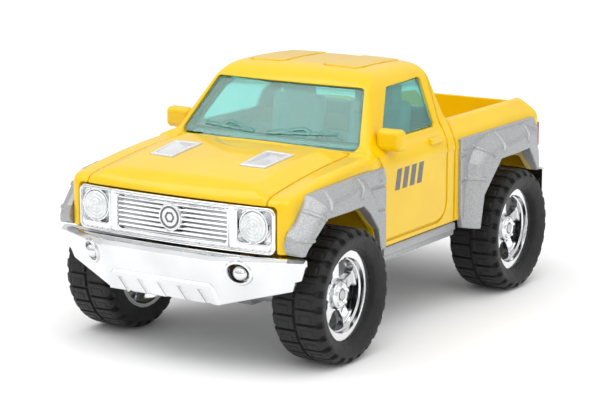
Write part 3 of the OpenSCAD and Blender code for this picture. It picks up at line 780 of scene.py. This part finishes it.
def mirror_field(x, y, z):
    """A left door mirror, cut where its arm meets the cab."""
    cx, cy, cz = MIRROR_AT
    head = block(x, y, z, (cx - 3.2, cy - 1.7, cz - 2.4), (cx + 3.2, cy + 1.7, cz + 2.4), 1.3)
    head = cut(head, block(x, y, z, (cx - 2.4, cy + 1.2, cz - 1.6), (cx + 2.4, cy + 4, cz + 1.6), 0.4), 0.3)
    arm = block(x, y, z, (23.4, cy - 1.1, 41.9), (26.9, cy + 1.1, 43.2), 0.5)
    return np.maximum(join(head, arm, 0.8), 0.03 - cab_field(x, y, z))


pair("mirror_%s_casting", mirror_field, (23, MIRROR_AT[1] - 2.5, 40.5), (32, MIRROR_AT[1] + 2.5, 47),
     0.18, 20000, "body_enamel", enamel, "mirror_%s")

# %% [markdown]
# Bolts, bars and rivets repeat, so one Geometry Nodes tree makes them all: it places copies of
# its input at steps of a shift, each turned a little more around the X axis than the last.

# %% Repeat tree
def repeat_tree():
    """The tree: a line of points, a copy on each, made real and given the material."""
    tree = bpy.data.node_groups.new("copies_in_steps", "GeometryNodeTree")
    sockets = {"Geometry": "Geometry", "Count": "Int", "Centre": "Vector", "Shift": "Vector",
               "Turn": "Float", "Material": "Material"}
    for name, kind in sockets.items():
        tree.interface.new_socket(name, in_out="INPUT", socket_type="NodeSocket" + kind)
    tree.interface.new_socket("Geometry", in_out="OUTPUT", socket_type="NodeSocketGeometry")
    given = add(tree, "NodeGroupInput").outputs
    line = add(tree, "GeometryNodeMeshLine", {"mode": "OFFSET"}, {
        "Count": given["Count"], "Start Location": given["Centre"], "Offset": given["Shift"]})
    index = add(tree, "GeometryNodeInputIndex").outputs[0]
    angle = add(tree, "ShaderNodeMath", {"operation": "MULTIPLY"}, {0: index, 1: given["Turn"]})
    euler = add(tree, "ShaderNodeCombineXYZ", links={"X": angle.outputs[0]})
    turn = add(tree, "FunctionNodeEulerToRotation", links={0: euler.outputs[0]})
    copies = add(tree, "GeometryNodeInstanceOnPoints", links={
        "Points": line.outputs[0], "Instance": given["Geometry"], "Rotation": turn.outputs[0]})
    real = add(tree, "GeometryNodeRealizeInstances", links={0: copies.outputs[0]})
    coated = add(tree, "GeometryNodeSetMaterial", links={
        "Geometry": real.outputs[0], "Material": given["Material"]})
    add(tree, "NodeGroupOutput", links={0: coated.outputs[0]})
    return tree


REPEAT = repeat_tree()


def repeated(piece, material, count, centre=(0, 0, 0), shift=(0, 0, 0), turn=0.0):
    """Copies of the piece in steps, as one plain mesh; lengths in mm and angles in degrees."""
    steps = piece.modifiers.new("steps", "NODES")
    steps.node_group = REPEAT
    values = {"Count": count, "Centre": tuple(v * MM for v in centre), "Shift": tuple(v * MM for v in shift),
              "Turn": math.radians(turn), "Material": material}
    for socket in REPEAT.interface.items_tree:
        if socket.in_out == "INPUT" and socket.name in values:
            steps[socket.identifier] = values[socket.name]
    piece = applied(piece)
    print(piece.name, count, "copies,", len(piece.data.polygons), "faces")
    return piece


def crisp(piece, angle=35):
    """Smooth shading that keeps edges sharper than the angle."""
    piece.data.shade_smooth()
    piece.data.set_sharp_from_angle(angle=math.radians(angle))
    return piece


# %% [markdown]
# A rim is one plated moulding. It has a wide flat lip, a stepped dish, five flat spokes that
# widen at both ends, and a raised hub with small bolts. The field is folded five times
# around the axle, so that one spoke is described and five are made.

# %% Rims
SPOKES = 5
LIP_X = 32.45    # the rim's wall is drawn to here, but the bore's slope ends it at about 30.6
SEAT_R = (RIM_HIGH[2] - RIM_LOW[2]) / 2
DISH = ([20, 26.8, 27.0, 29.3, 29.5, LIP_X - 0.35, LIP_X], [8.7, 8.5, 7.35, 7.5, 7.85, 8.0, 8.3])


def rim_field(x, y, z):
    """A rim around the origin's X axis, with its face towards +X."""
    r = np.hypot(y, z)
    sector = 2 * np.pi / SPOKES
    a = (np.arctan2(z, y) - np.pi / 2 + sector / 2) % sector - sector / 2
    u, v = r * np.cos(a), r * np.abs(np.sin(a))
    ring = meet(meet(r - SEAT_R, x - LIP_X, 0.3), np.interp(x, *DISH) - r, 0.3)
    ring = np.maximum(ring, RIM_LOW[0] + 0.05 - x)
    arm = v - 1.2 - 0.9 * ramp(u, 6.4, 8.0) - 0.6 * ramp(-u, -4.0, -2.8)
    spoke = np.maximum(meet(arm, x - 28.3, 0.25), np.maximum(26.5 - x, r - 8.6))
    hub = meet(r - 3.2 + 0.2 * (x - 28), x - 29.6, 0.5)
    hub = np.maximum(hub, 22.6 - x)
    cap = meet(r - 1.3, x - 30.5, 0.4)
    hub = join(hub, np.maximum(cap, 29 - x), 0.2)
    rim = join(join(ring, spoke, 0.5), hub, 0.5)
    # the axle's bore; past 29.75 its slope also trims the cap and the end of the rim's wall
    return np.maximum(rim, 1.02 - r + 10 * np.maximum(x - 29.75, 0))


def bolt(name, x, radius_at):
    """A hexagonal bolt head on a rim, facing +X, above the axle."""
    rings = [(x - 0.4, 0.42), (x + 0.3, 0.42), (x + 0.45, 0.3)]
    points = [(bx, r * math.cos(math.radians(60 * k)), radius_at + r * math.sin(math.radians(60 * k)))
              for bx, r in rings for k in range(6)]
    faces = [tuple(range(5, -1, -1)), tuple(range(12, 18))]
    faces += [(6 * j + k, 6 * j + (k + 1) % 6, 6 * (j + 1) + (k + 1) % 6, 6 * (j + 1) + k)
              for j in range(2) for k in range(6)]
    return put(name, plain_mesh(name, points, faces))


# %% [markdown]
# A tyre is a ring, so its section is drawn once and swept around. The tread is pressed in
# along the surface normal: two rows of lugs half a step apart, a zigzag groove between them,
# and a shallow bracket in each lug. The rows of points are close enough to show the grooves.

# %% Tyre mesh
LUGS = 26        # in each row
TREAD_R = (TYRE_HIGH[2] - TYRE_LOW[2]) / 2
TREAD_X = (TYRE_LOW[0] + TYRE_HIGH[0]) / 2
PITCH = 2 * math.pi * TREAD_R / LUGS
TYRE_SECTION = [(20.85, 9.72), (20.65, 11.2), (20.62, 12.6), (21.1, 13.7), (22.2, 14.36), (24, 14.4),
                (26.9, 14.4), (29.8, 14.4), (31.6, 14.36), (32.7, 13.7), (33.15, 12.7), (32.75, 11.3),
                (32.3, 10.3), (32.0, 9.9), (31.4, 9.72)]
BRACKET = [(0.8, 1.3), (-0.5, 1.3), (-0.5, 4.2), (0.8, 4.2)]


def section_points(points, rounds, spacing):
    """A smooth run through a section: corners cut a few times, then spaced evenly."""
    path = np.array(points, float)
    for _ in range(rounds):
        middle = np.stack([path[:-1] * 0.75 + path[1:] * 0.25, path[:-1] * 0.25 + path[1:] * 0.75], 1)
        path = np.concatenate([path[:1], middle.reshape(-1, 2), path[-1:]])
    length = np.concatenate([[0], np.cumsum(np.linalg.norm(np.diff(path, axis=0), axis=1))])
    even = np.linspace(0, length[-1], int(length[-1] / spacing) + 1)
    return np.stack([np.interp(even, length, path[:, k]) for k in (0, 1)], 1)


def tread_depth(across, around, radius):
    """How deep the mould presses in, for a place across the tyre and an angle in turns."""
    q = np.abs(across)
    turns = (around * LUGS + np.where(across < 0, 0.5, 0)) % 1
    p = (turns - 0.5) * PITCH
    groove = PITCH / 2 - np.abs(p)
    shoulder = ramp(q, 4.4, 5.9)
    width = 0.16 + 0.5 * shoulder
    on_tread = ramp(radius, 12.7, 13.4)
    depth = (0.55 + 0.35 * shoulder) * ramp(-groove, -width - 0.2, -width)
    depth = np.maximum(depth, 0.5 * ramp(-q, -0.36, -0.2))
    line = path_distance(p, q, BRACKET)
    return np.maximum(depth, 0.15 * ramp(-line, -0.24, -0.1)) * on_tread


def tyre_mesh(name, spacing, steps):
    """A tyre around the X axis: its section swept in steps, with the tread pressed in."""
    section = section_points(TYRE_SECTION, 3, spacing)
    tangent = np.gradient(section, axis=0)
    normal = np.stack([-tangent[:, 1], tangent[:, 0]], 1)
    normal /= np.linalg.norm(normal, axis=1)[:, None]
    turns = np.arange(steps) / steps
    across, around = np.meshgrid(section[:, 0] - TREAD_X, turns, indexing="ij")
    depth = tread_depth(across, around, section[:, 1][:, None] + 0 * around)
    x = section[:, 0][:, None] - depth * normal[:, 0][:, None]
    r = section[:, 1][:, None] - depth * normal[:, 1][:, None]
    angle = around * 2 * np.pi
    points = np.stack([x + 0 * angle, r * np.cos(angle), r * np.sin(angle)], -1).reshape(-1, 3)
    rows = len(section)
    faces = []
    for i in range(rows):
        a, b = i * steps, ((i + 1) % rows) * steps
        faces += [(a + k, a + (k + 1) % steps, b + (k + 1) % steps, b + k) for k in range(steps)]
    mesh = plain_mesh(name, points, faces)
    solid = bmesh.new()
    solid.from_mesh(mesh)
    bmesh.ops.recalc_face_normals(solid, faces=solid.faces)
    solid.to_mesh(mesh)
    solid.free()
    return mesh


# %% [markdown]
# One rim and one tyre are made at the origin and copied to the four ends of the axles. Each
# rides on its wheel set. The five bolts around a hub come from the repeat tree.

# %% Wheels on their axles
RIM_CELL = 0.18
rim_master = cast("rim_master", rim_field, (20.3, -10.2, -10.2), (32.9, 10.2, 10.2), RIM_CELL, 60000)
tyre_master = tyre_mesh("tyre", 0.2, LUGS * (20))
print("tyre", len(tyre_master.polygons), "faces")
for end, axle_y, body_name in (("front", FRONT_Y, "front_wheels"), ("rear", REAR_Y, "rear_wheels")):
    for hand in ("left", "right"):
        label = "%s_%s" % (end, hand)
        flip = hand == "right"
        at = (0, axle_y, AXLE_Z)
        rim = copy_of(rim_master, "rim_%s_plating" % label, rim_field, at, flip)
        dress(rim, body_name, "chrome_plating", chrome, "rim_" + label)
        tyre = put("tyre_%s_rubber" % label, tyre_master.copy())
        tyre.data.transform(Matrix.Translation(Vector(at) * MM))
        bolts = repeated(bolt("rim_%s_bolts" % label, 29.6, 2.1), chrome, 5, at, turn=72)
        for piece in (tyre, bolts):
            if flip:
                turn_over(piece.data)
        dress(crisp(tyre), body_name, "tyre_rubber", rubber, "tyre_" + label)
        dress(bolts, body_name, "chrome_plating", chrome)
bpy.data.objects.remove(rim_master)

# %% [markdown]
# The grille and the bumper are one colour but two mouldings. The grille panel is slightly
# bowed, with a shallow round-ended window for the bars and a square pocket for each lamp. Its
# bars all share one shape, so one bar is drawn and the repeat tree sets out the rest.

# %% Grille panel
LAMP_X, LAMP_Z = 20.15, 31.4
PANEL_Y, POST_X = NOSE_Y - 0.5, 15.1


def panel_y(x):
    """Front face of the bowed grille panel."""
    return PANEL_Y + 0.0026 * x * x


def grille_field(x, y, z):
    """The panel with its window and lamp pockets, then its posts, bezels and badge seat."""
    x = np.abs(x)
    sheet = outline(x, z, [(-9, 27.4), (23.4, 27.4), (23.4, 33.8), (-9, 33.8)], 1.7)
    panel = meet(panel_y(x) - y, sheet, 0.5)
    panel = np.maximum(panel, y - (NOSE_Y + 2.9))
    window = outline(x, z, [(-9, 28.4), (12.9, 28.4), (12.9, 33.4), (-9, 33.4)], 1.1)
    panel = cut(panel, np.maximum(window, y - (NOSE_Y + 1.3)), 0.25)
    pocket = outline(x, z, [(LAMP_X - 2.9, LAMP_Z - 2.7), (LAMP_X + 3.1, LAMP_Z - 2.7),
                            (LAMP_X + 3.1, LAMP_Z + 2.5), (LAMP_X - 2.9, LAMP_Z + 2.5)], 0.8)
    panel = cut(panel, np.maximum(pocket, y - (NOSE_Y + 2.1)), 0.25)
    frame_line = np.abs(outline(x, z, [(-9, 27.5), (23.3, 27.5), (23.3, 33.7), (-9, 33.7)], 1.0))
    panel = cut(panel, np.maximum(frame_line - 0.13, y - panel_y(x) - 0.25), 0.1)
    post = np.hypot(x - POST_X, y - panel_y(POST_X) - 0.45) - 0.75
    post = np.maximum(post, slab(z, 26.7, 35.3))
    ring = np.hypot(x - LAMP_X, z - LAMP_Z)
    bezel = np.maximum(np.abs(ring - 3.35) - 0.22, slab(y, panel_y(LAMP_X) + 0.1, NOSE_Y + 2.3))
    seat = np.maximum(np.hypot(x, z - 31.2) - 2.95, slab(y, NOSE_Y - 0.15, NOSE_Y + 1.5))
    return join(join(join(panel, post, 0.3), bezel, 0.15), seat, 0.1)


def grille_bar(name, half, bottom, height):
    """A rounded bar across the window, bowed like the panel."""
    section = [(1.45, 0.0), (0.45, 0.0), (0.3, height * 0.3), (0.3, height * 0.7), (0.45, height),
               (1.45, height)]
    across = np.linspace(-half, half, 25)
    points = [(x, panel_y(x) + dy, bottom + dz) for x in across for dy, dz in section]
    n, count = len(section), len(across)
    faces = [(n * i + k, n * i + (k + 1) % n, n * (i + 1) + (k + 1) % n, n * (i + 1) + k)
             for i in range(count - 1) for k in range(n)]
    faces += [tuple(range(n - 1, -1, -1)), tuple(range(n * (count - 1), n * count))]
    return put(name, plain_mesh(name, points, faces))


FINE = 0.15
moulded("grille_panel", grille_field, (-25.6, NOSE_Y - 1, 25.3), (25.6, NOSE_Y + 3.2, 35.9),
        FINE, 120000, "chrome_plating", chrome, "grille")
bars = repeated(grille_bar("grille_bars", 13.9, 27.75, 0.5), chrome, 7, shift=(0, 0, 0.98))
dress(crisp(bars, 25), "truck", "chrome_plating", chrome)

# %% [markdown]
# The maker's sign on the grille is replaced by a plain disc: a raised rim and a small
# hexagon, which stand for nothing.

# %% Grille badge
BADGE_LOW, BADGE_HIGH = box_mm("grille_badge")
BADGE_Z = (BADGE_LOW[2] + BADGE_HIGH[2]) / 2


def badge_disc(x, y, z):
    """A plain round disc in the middle of the grille."""
    r = np.hypot(x, z - BADGE_Z)
    disc = meet(r - 2.78, BADGE_LOW[1] + 0.15 - y, 0.15)
    return np.maximum(disc, y - BADGE_HIGH[1])


def badge_sign(x, y, z):
    """A ring with a hexagon inside it, printed on the disc."""
    r = np.hypot(x, z - BADGE_Z)
    turns = [(0, 1), (math.sin(math.pi / 3), 0.5), (-math.sin(math.pi / 3), 0.5)]
    hexagon = np.max([np.abs(x * a + (z - BADGE_Z) * b) for a, b in turns], axis=0)
    sign = np.minimum(np.abs(r - 2.15) - 0.24, np.abs(hexagon - 0.9) - 0.2)
    return np.maximum(sign, slab(y, BADGE_LOW[1] + 0.08, BADGE_LOW[1] + 0.3))


BADGE_SPAN = (-3, BADGE_LOW[1] - 0.4, BADGE_Z - 3), (3, BADGE_HIGH[1] + 0.3, BADGE_Z + 3)
moulded("grille_disc", badge_disc, *BADGE_SPAN, 0.1, 12000, "chrome_plating", chrome, "grille_badge")
moulded("grille_disc_print", badge_sign, *BADGE_SPAN, 0.07, 12000, "badge_print", badge_ink)


# %% [markdown]
# A headlamp lens on a toy is a clear disc with rings pressed in its face, and a tail lamp is
# a red block with level ribs. Both rows of waves are cosines added to the face of the field.

# %% Lamps
RING_MM, RIB_MM = 0.78, 1.03


def headlamp_field(x, y, z):
    """A pressed lens with concentric rings, on a disc that fills its pocket."""
    r = np.hypot(x - LAMP_X, z - LAMP_Z + 0.05)
    face = NOSE_Y + 0.2 + 0.02 * r * r + 0.11 * np.cos(2 * np.pi * r / RING_MM)
    return np.maximum(meet(r - 3.1, face - y, 0.25), y - (NOSE_Y + 1.9))


def tail_lamp_field(x, y, z):
    """A soft-edged block with level ribs on its face."""
    lamp = block(x, y, z, (22.62, TAIL_Y - 0.6, 31.22), (27.78, TAIL_Y + 0.95, 37.38), 0.5)
    ribs = 0.12 * np.cos(2 * np.pi * (z - 31.2) / RIB_MM)
    return np.maximum(lamp, y - TAIL_Y - 0.8 - ribs)


pair("headlamp_%s_lens", headlamp_field, (LAMP_X - 3.4, NOSE_Y - 0.2, LAMP_Z - 3.5),
     (LAMP_X + 3.4, NOSE_Y + 2.2, LAMP_Z + 3.4), 0.12, 24000, "clear_lens", lens, "headlamp_%s")
pair("tail_lamp_%s_lens", tail_lamp_field, (22.3, TAIL_Y - 0.9, 30.9), (28.1, TAIL_Y + 1.2, 37.7),
     0.12, 24000, "red_lens", red_lens, "tail_lamp_%s")

# %% [markdown]
# The front bumper has a narrow bevelled top, ends that sweep back, and a lower face that
# leans under. In the middle a raised guard has five slanted notches, and a fog lamp sits in
# a ring at each side. A small slot is pressed into each lower corner.

# %% Front bumper
FOG_X, FOG_Z = 18.8, 22.2
BUMPER_FRONT = [(-9, 25.45), (31.25, 25.45), (31.35, 24), (29.3, 18.6), (14, 14.8), (-9, 14.8)]
GUARD = [(-9, 19.1), (12.3, 19.1), (13.1, 18.4), (14.3, 14), (-9, 14)]


def bumper_face(x, z):
    """Front surface of the bumper, before its relief."""
    sweep = -join(0 * x, (14.3 - x) * 0.47, 0.15)
    under = np.where(z < 24.4, (24.4 - z) * 0.34, 0)
    top = np.maximum(z - 24.6, 0) * 1.5
    return BUMPER_Y + 0.25 + sweep + under + top


def bumper_field(x, y, z):
    """The front bumper: its relief is added to the face, then it is hollowed and gets its lamps."""
    near = x
    x = np.abs(x)
    face = bumper_face(x, z)
    guard = outline(x, z, GUARD)
    relief_out = 0.7 * ramp(-guard, -0.35, 0.25)
    pitch = 5.1
    slant = near - 0.6 + 0.5 * (z - 16.4)
    slot_x = slant - pitch * np.clip(np.round(slant / pitch), -2, 2)
    notch = np.maximum(np.abs(slot_x) - 0.7, z - 17.9)
    relief_out = relief_out - 0.5 * ramp(-notch, -0.08, 0.12)
    away = np.hypot(x - FOG_X, z - FOG_Z)
    relief_out = relief_out + 0.4 * ramp(-np.abs(away - 2.35), -0.4, -0.2)
    corner = outline(x, z, [(27.4, 16), (31.6, 17), (31.6, 21.2), (28.9, 20.3)], 0.1)
    relief_out = relief_out - 0.8 * ramp(-corner, -0.1, 0.3)
    bumper = meet(face - relief_out - y, outline(x, z, BUMPER_FRONT), 0.25)
    bumper = np.maximum(bumper, y - (NOSE_Y + 3.6))
    hollow = np.maximum(face + 1.4 - y, np.maximum(x - 27, z - 23.6))
    bumper = cut(bumper, hollow, 0.3)
    well = np.maximum(away - 2.05, y - (bumper_face(FOG_X, FOG_Z) + 1.9))
    bumper = cut(bumper, well, 0.15)
    fog_y = bumper_face(FOG_X, FOG_Z)
    dome = np.sqrt(away ** 2 + (y - fog_y - 1.1) ** 2 * 0.7) - 1.72
    bumper = join(bumper, np.maximum(dome, y - fog_y - 2.6), 0.12)
    return np.maximum(bumper, BUMPER_Y - y)


BUMPER_CELL = FINE * 1.15
moulded("front_bumper_plated", bumper_field, (-31.9, BUMPER_Y - 0.6, 14.2), (31.9, NOSE_Y + 4.0, 26.1),
        BUMPER_CELL, 150000, "chrome_plating", chrome, "front_bumper")


# %% [markdown]
# The rear bumper is a plain plated bar with rounded ends that turn forwards. It has a shallow
# step on top at each side and a blank recess in the middle, and is hollow underneath.

# %% Rear bumper
def rear_bumper_field(x, y, z):
    """The rear bumper: a bar, less its recess, its steps and its hollow."""
    x = np.abs(x)
    back = TAIL_Y + 4.75
    bar = meet(y - back + 0.5 * np.maximum(x - 24, 0), np.maximum(x - 29.2, slab(z, 19.85, 25.8)), 0.9)
    bar = np.maximum(bar, TAIL_Y + 0.12 - y)
    plate = outline(x, z, [(-9, 20.9), (6.2, 20.9), (6.8, 24.6), (-9, 24.6)], 0.2)
    bar = cut(bar, np.maximum(plate, back - 0.7 - y), 0.3)
    step = outline(x, y, [(12, back - 3.6), (22.5, back - 3.6), (22.5, back - 1.1), (12, back - 1.1)], 0.2)
    bar = cut(bar, np.maximum(step, 25.35 - z), 0.2)
    return cut(bar, block(x, y, z, (-30, TAIL_Y - 3, 10), (24, TAIL_Y + 2.2, 24.2), 0.3), 0.3)


moulded("rear_bumper_plated", rear_bumper_field, (-29.8, TAIL_Y - 0.4, 19.2), (29.8, TAIL_Y + 5.3, 26.4),
        BUMPER_CELL, 70000, "chrome_plating", chrome, "rear_bumper")

# %% [markdown]
# Two silver scoops are pressed into pockets in the hood. Each is a raised rim around a floor
# that slopes down towards the back, with a low rib along its middle.

# %% Hood scoops
VENT_MIRROR = [(-u, v) for u, v in VENT]


def scoop_field(x, y, z):
    """The left scoop: a rim that follows the hood, around a sloping floor."""
    skin = lower_field(x, y, z)
    edge = outline(x, y - FRONT_Y, VENT_MIRROR) + 0.06
    scoop = np.maximum(meet(edge, skin - 0.35, 0.35), -skin - 0.82)
    depth = 0.1 + np.minimum(0.13 * (y - FRONT_Y + 6.2), 0.42 * (14.6 - x))
    depth = np.clip(depth, 0.05, 0.95)
    floor = np.maximum(edge + 0.85, -(skin - 0.35) - depth)
    return cut(scoop, np.maximum(floor, 30 - z), 0.25)


pair("hood_scoop_%s", scoop_field, (7.4, FRONT_Y - 7.8, 37.5), (16.4, FRONT_Y + 4.8, 44.5),
     0.16, 30000, "silver_flake", bright_silver, "hood_vent_%s")

# %% [markdown]
# All the windows are one clear teal moulding behind the cab. It follows the inside of the
# shell and swells into each opening, so that light gathers along its thick edges. The two
# wipers are moulded on it as raised lines.

# %% Windows and wipers
WIPERS = [[(-3.9, 43.5), (-17.2, 44.1)], [(-4.2, 43.6), (-10.8, 44.9), (-12.6, 44.2)],
          [(-0.1, 43.5), (16.9, 44.5)], [(1.2, 43.7), (8.6, 45.0), (10.4, 44.4)]]


def glass_field(x, y, z):
    """The shell inside the cab, its panes in the openings, and the wipers on the windscreen."""
    real_x = x
    x = np.abs(x)
    cab = cab_field(x, y, z)
    shell = np.maximum(np.maximum(cab + WALL + 0.08, -(cab + WALL + 1.1)), slab(z, 42.3, 56.4))
    shell = np.maximum(shell, y - (CAB_BACK_Y - WALL))
    side = np.maximum(outline(y, z, SIDE_GLASS, 0.88), 15 - x)
    screen = np.maximum(outline(x, z, SCREEN_GLASS, 1.08), slab(y, SCREEN_Y - 0.5, SCREEN_Y + 14))
    rear = np.maximum(outline(x, z, REAR_GLASS, 0.88), np.abs(y - CAB_BACK_Y) - 5)
    pane = meet(np.minimum(np.minimum(side, screen), rear), cab + 0.45, 0.35)
    pane = np.maximum(pane, -(cab + WALL + 0.5))
    wiper = np.minimum.reduce([path_distance(real_x, z, path) for path in WIPERS])
    blade = meet(wiper - 0.3, cab + 0.12, 0.2)
    blade = np.maximum(np.maximum(blade, -(cab + 0.7)), y - (SCREEN_Y + 14))
    return join(join(shell, pane, 0.3), blade, 0.15)


GLASS_CELL = 0.24
moulded("cab_glass", glass_field, (-26.5, SCREEN_Y - 1.5, 41.9), (26.5, CAB_BACK_Y + 0.5, 57.2),
        GLASS_CELL, 120000, "tinted_window", tinted, "window_glass")

# %% [markdown]
# The seats, the floor and the dashboard are one grey tub that drops in from below. The seats
# have soft cushions, an upright back and a headrest each.

# %% Interior
TUB_LOW, TUB_HIGH = box_mm("interior_tub")


def tub_field(x, y, z):
    """Floor tub, dashboard and seats; the seats are one shape, mirrored."""
    x = np.abs(x)
    x1, y0, y1, z0 = TUB_HIGH[0], TUB_LOW[1], TUB_HIGH[1], TUB_LOW[2]
    tub = block(x, y, z, (-30, y0, z0), (x1, y1, 38.35), 0.6)
    tub = cut(tub, block(x, y, z, (-30, y0 + 7.5, 24), (x1 - 1.4, y1 - 1.4, 60), 0.8), 0.3)
    tub = cut(tub, np.maximum(np.maximum(x - x1 + 1.4, slab(y, y0 + 1.4, y0 + 6)), z - 37), 0.3)
    dash = block(x, y, z, (-30, y0 + 0.7, 36), (22, y0 + 7.4, 40.85), 1.2)
    tub = join(tub, dash, 0.4)
    seat_x = x - 10.5
    cushion = block(seat_x, y, z, (-6.9, y1 - 19.2, 23.9), (6.9, y1 - 4, 31.2), 1.6)
    lean = y - (z - 28) * 0.11
    back = block(seat_x, lean, z, (-6.8, y1 - 8.4, 24), (6.8, y1 - 4.4, 47.4), 1.6)
    back = cut(back, block(seat_x, lean, z, (-4.2, y1 - 12, 32.5), (4.2, y1 - 8.0, 44.5), 0.6), 0.5)
    rest = block(seat_x, y, z, (-4.1, y1 - 6.1, 46.2), (4.1, y1 - 2.6, 52.6), 1.3)
    seat = join(join(cushion, back, 0.8), rest, 0.6)
    return np.maximum(join(tub, seat, 0.3), y - (y1 - 0.02))


TUB_CELL = 0.36
moulded("cab_interior", tub_field, (TUB_LOW[0] - 0.5, TUB_LOW[1] - 0.5, 20),
        (TUB_HIGH[0] + 0.5, TUB_HIGH[1] + 0.5, 53.2), TUB_CELL, 90000,
        "grey_plastic", grey_abs, "interior_tub")

# %% [markdown]
# The lettering on the doors is replaced by plain slanted stripes. They are a film of ink, as
# a pad printer leaves it, so they stand only a few hundredths of a millimetre proud.

# %% Door stripes
def stripe(name, y, z, width, height, lean):
    """One slanted stripe on the left door, with its lower rear corner at y and z."""
    low_x, high_x = SIDE_X - 0.02, SIDE_X + 0.05
    corners = [(y, z), (y + width, z), (y + width + lean, z + height), (y + lean, z + height)]
    points = [(x, u, v) for x in (low_x, high_x) for u, v in corners]
    faces = [(3, 2, 1, 0), (4, 5, 6, 7)] + [(k, (k + 1) % 4, (k + 1) % 4 + 4, k + 4) for k in range(4)]
    return put(name, plain_mesh(name, points, faces))


one_stripe = stripe("door_stripes_left", FRONT_Y + 24.6, 32.2, 2.0, 4.6, 1.1)
stripes = repeated(one_stripe, badge_ink, 4, shift=(0, 3.2, 0))
other = put("door_stripes_right", stripes.data.copy())
turn_over(other.data)
for piece in (stripes, other):
    dress(piece, "truck", "badge_print", badge_ink)

# %% [markdown]
# Chassis, axles, screws and motor keep the shapes of the mechanical model, because they are
# already right. Only the chassis gets softer edges, as mouldings have.

# %% Softened copies
def softened(name, node, width):
    """A copy of a CAD node with flat faces joined up and its edges rounded by the width in mm."""
    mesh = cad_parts[node].data.copy()
    mesh.name = name
    solid = bmesh.new()
    solid.from_mesh(mesh)
    bmesh.ops.remove_doubles(solid, verts=solid.verts, dist=0.002 * MM)
    bmesh.ops.dissolve_limit(solid, angle_limit=math.radians(1), verts=solid.verts, edges=solid.edges)
    solid.to_mesh(mesh)
    solid.free()
    piece = put(name, mesh)
    bevel = piece.modifiers.new("soft edges", "BEVEL")
    bevel.width = width * MM
    bevel.segments = 2
    bevel.limit_method = "ANGLE"
    bevel.angle_limit = math.radians(35)
    bevel.use_clamp_overlap = True
    return crisp(applied(piece), 40)


chassis = softened("chassis_moulding", "chassis_base", 0.25)
print("chassis", len(chassis.data.polygons), "faces")
dress(chassis, "truck", "silver_flake", silver, "chassis_base")

# %% [markdown]
# The parts that turn or fasten are already exact, so only their finish is new. Each of them
# is a node of the frame and is left where it is.

# %% Finishes of the mechanical parts
KEPT = {
    "steering_wheel": dark_nylon, "motor_case_left": dark_nylon, "motor_case_right": dark_nylon,
    "chassis_screws": zinc_screw, "motor_screws": zinc_screw, "front_axle": axle_steel,
    "rear_axle": axle_steel, "cluster_shaft": axle_steel, "spring_arbor": axle_steel,
    "axle_pinion": brass, "cluster_gear": gear_acetal, "spring_barrel": gear_acetal,
    "mainspring": spring_steel,
}
for node, material in KEPT.items():
    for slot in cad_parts[node].material_slots:
        slot.material = material

# %% [markdown]
# The truck stands on a plain pale floor under soft studio lights: one broad light above and
# to the front, a weak fill, and one that the windscreen mirrors as a pale haze. The sky is
# brighter overhead than at the horizon, so that plated faces show which way they lean.

# %% Floor, lights and sky
floor_mesh = bpy.data.meshes.new("floor")
FLOOR_SIZE = 6
floor_mesh.from_pydata([(-FLOOR_SIZE, -FLOOR_SIZE, 0), (FLOOR_SIZE, -FLOOR_SIZE, 0),
                        (FLOOR_SIZE, FLOOR_SIZE, 0), (-FLOOR_SIZE, FLOOR_SIZE, 0)], [], [(0, 1, 2, 3)])
floor = put("floor", floor_mesh)
floor_paint, tree, shader = finish("Matt white studio paint", {
    "Base Color": paint("#FDFDFD"), "Roughness": 0.9})
wear(floor, floor_paint)


def light(name, position, aim, size, power):
    """A rectangular studio light; places and sizes in metres, power in watts."""
    data = bpy.data.lights.new(name, "AREA")
    data.shape = "RECTANGLE"
    data.size, data.size_y = size
    data.energy = power
    lamp = bpy.data.objects.new(name, data)
    bpy.context.scene.collection.objects.link(lamp)
    lamp.location = position
    lamp.rotation_euler = (Vector(aim) - Vector(position)).to_track_quat("-Z", "Y").to_euler()


light("key", (0.25, -0.25, 0.75), (0, 0, 0.02), (0.7, 0.7), 2.2)
light("fill", (0.8, -0.35, 0.3), (0, 0, 0.03), (0.5, 0.4), 0.5)
light("screen", (-0.42, -0.36, 0.78), (0, -0.015, 0.045), (0.5, 0.45), 1.4)
world = bpy.data.worlds.new("studio")
bpy.context.scene.world = world
world.use_nodes = True
world.node_tree.nodes["Background"].inputs["Color"].default_value = paint("#FFFFFF")
sky = world.node_tree
direction = add(sky, "ShaderNodeTexCoord").outputs["Generated"]
height = add(sky, "ShaderNodeSeparateXYZ", links={"Vector": direction}).outputs["Z"]
sky.links.new(between(sky, height, 0, 0.7, 0.55, 1.0), sky.nodes["Background"].inputs["Strength"])
bpy.context.scene.view_settings.view_transform = "Standard"
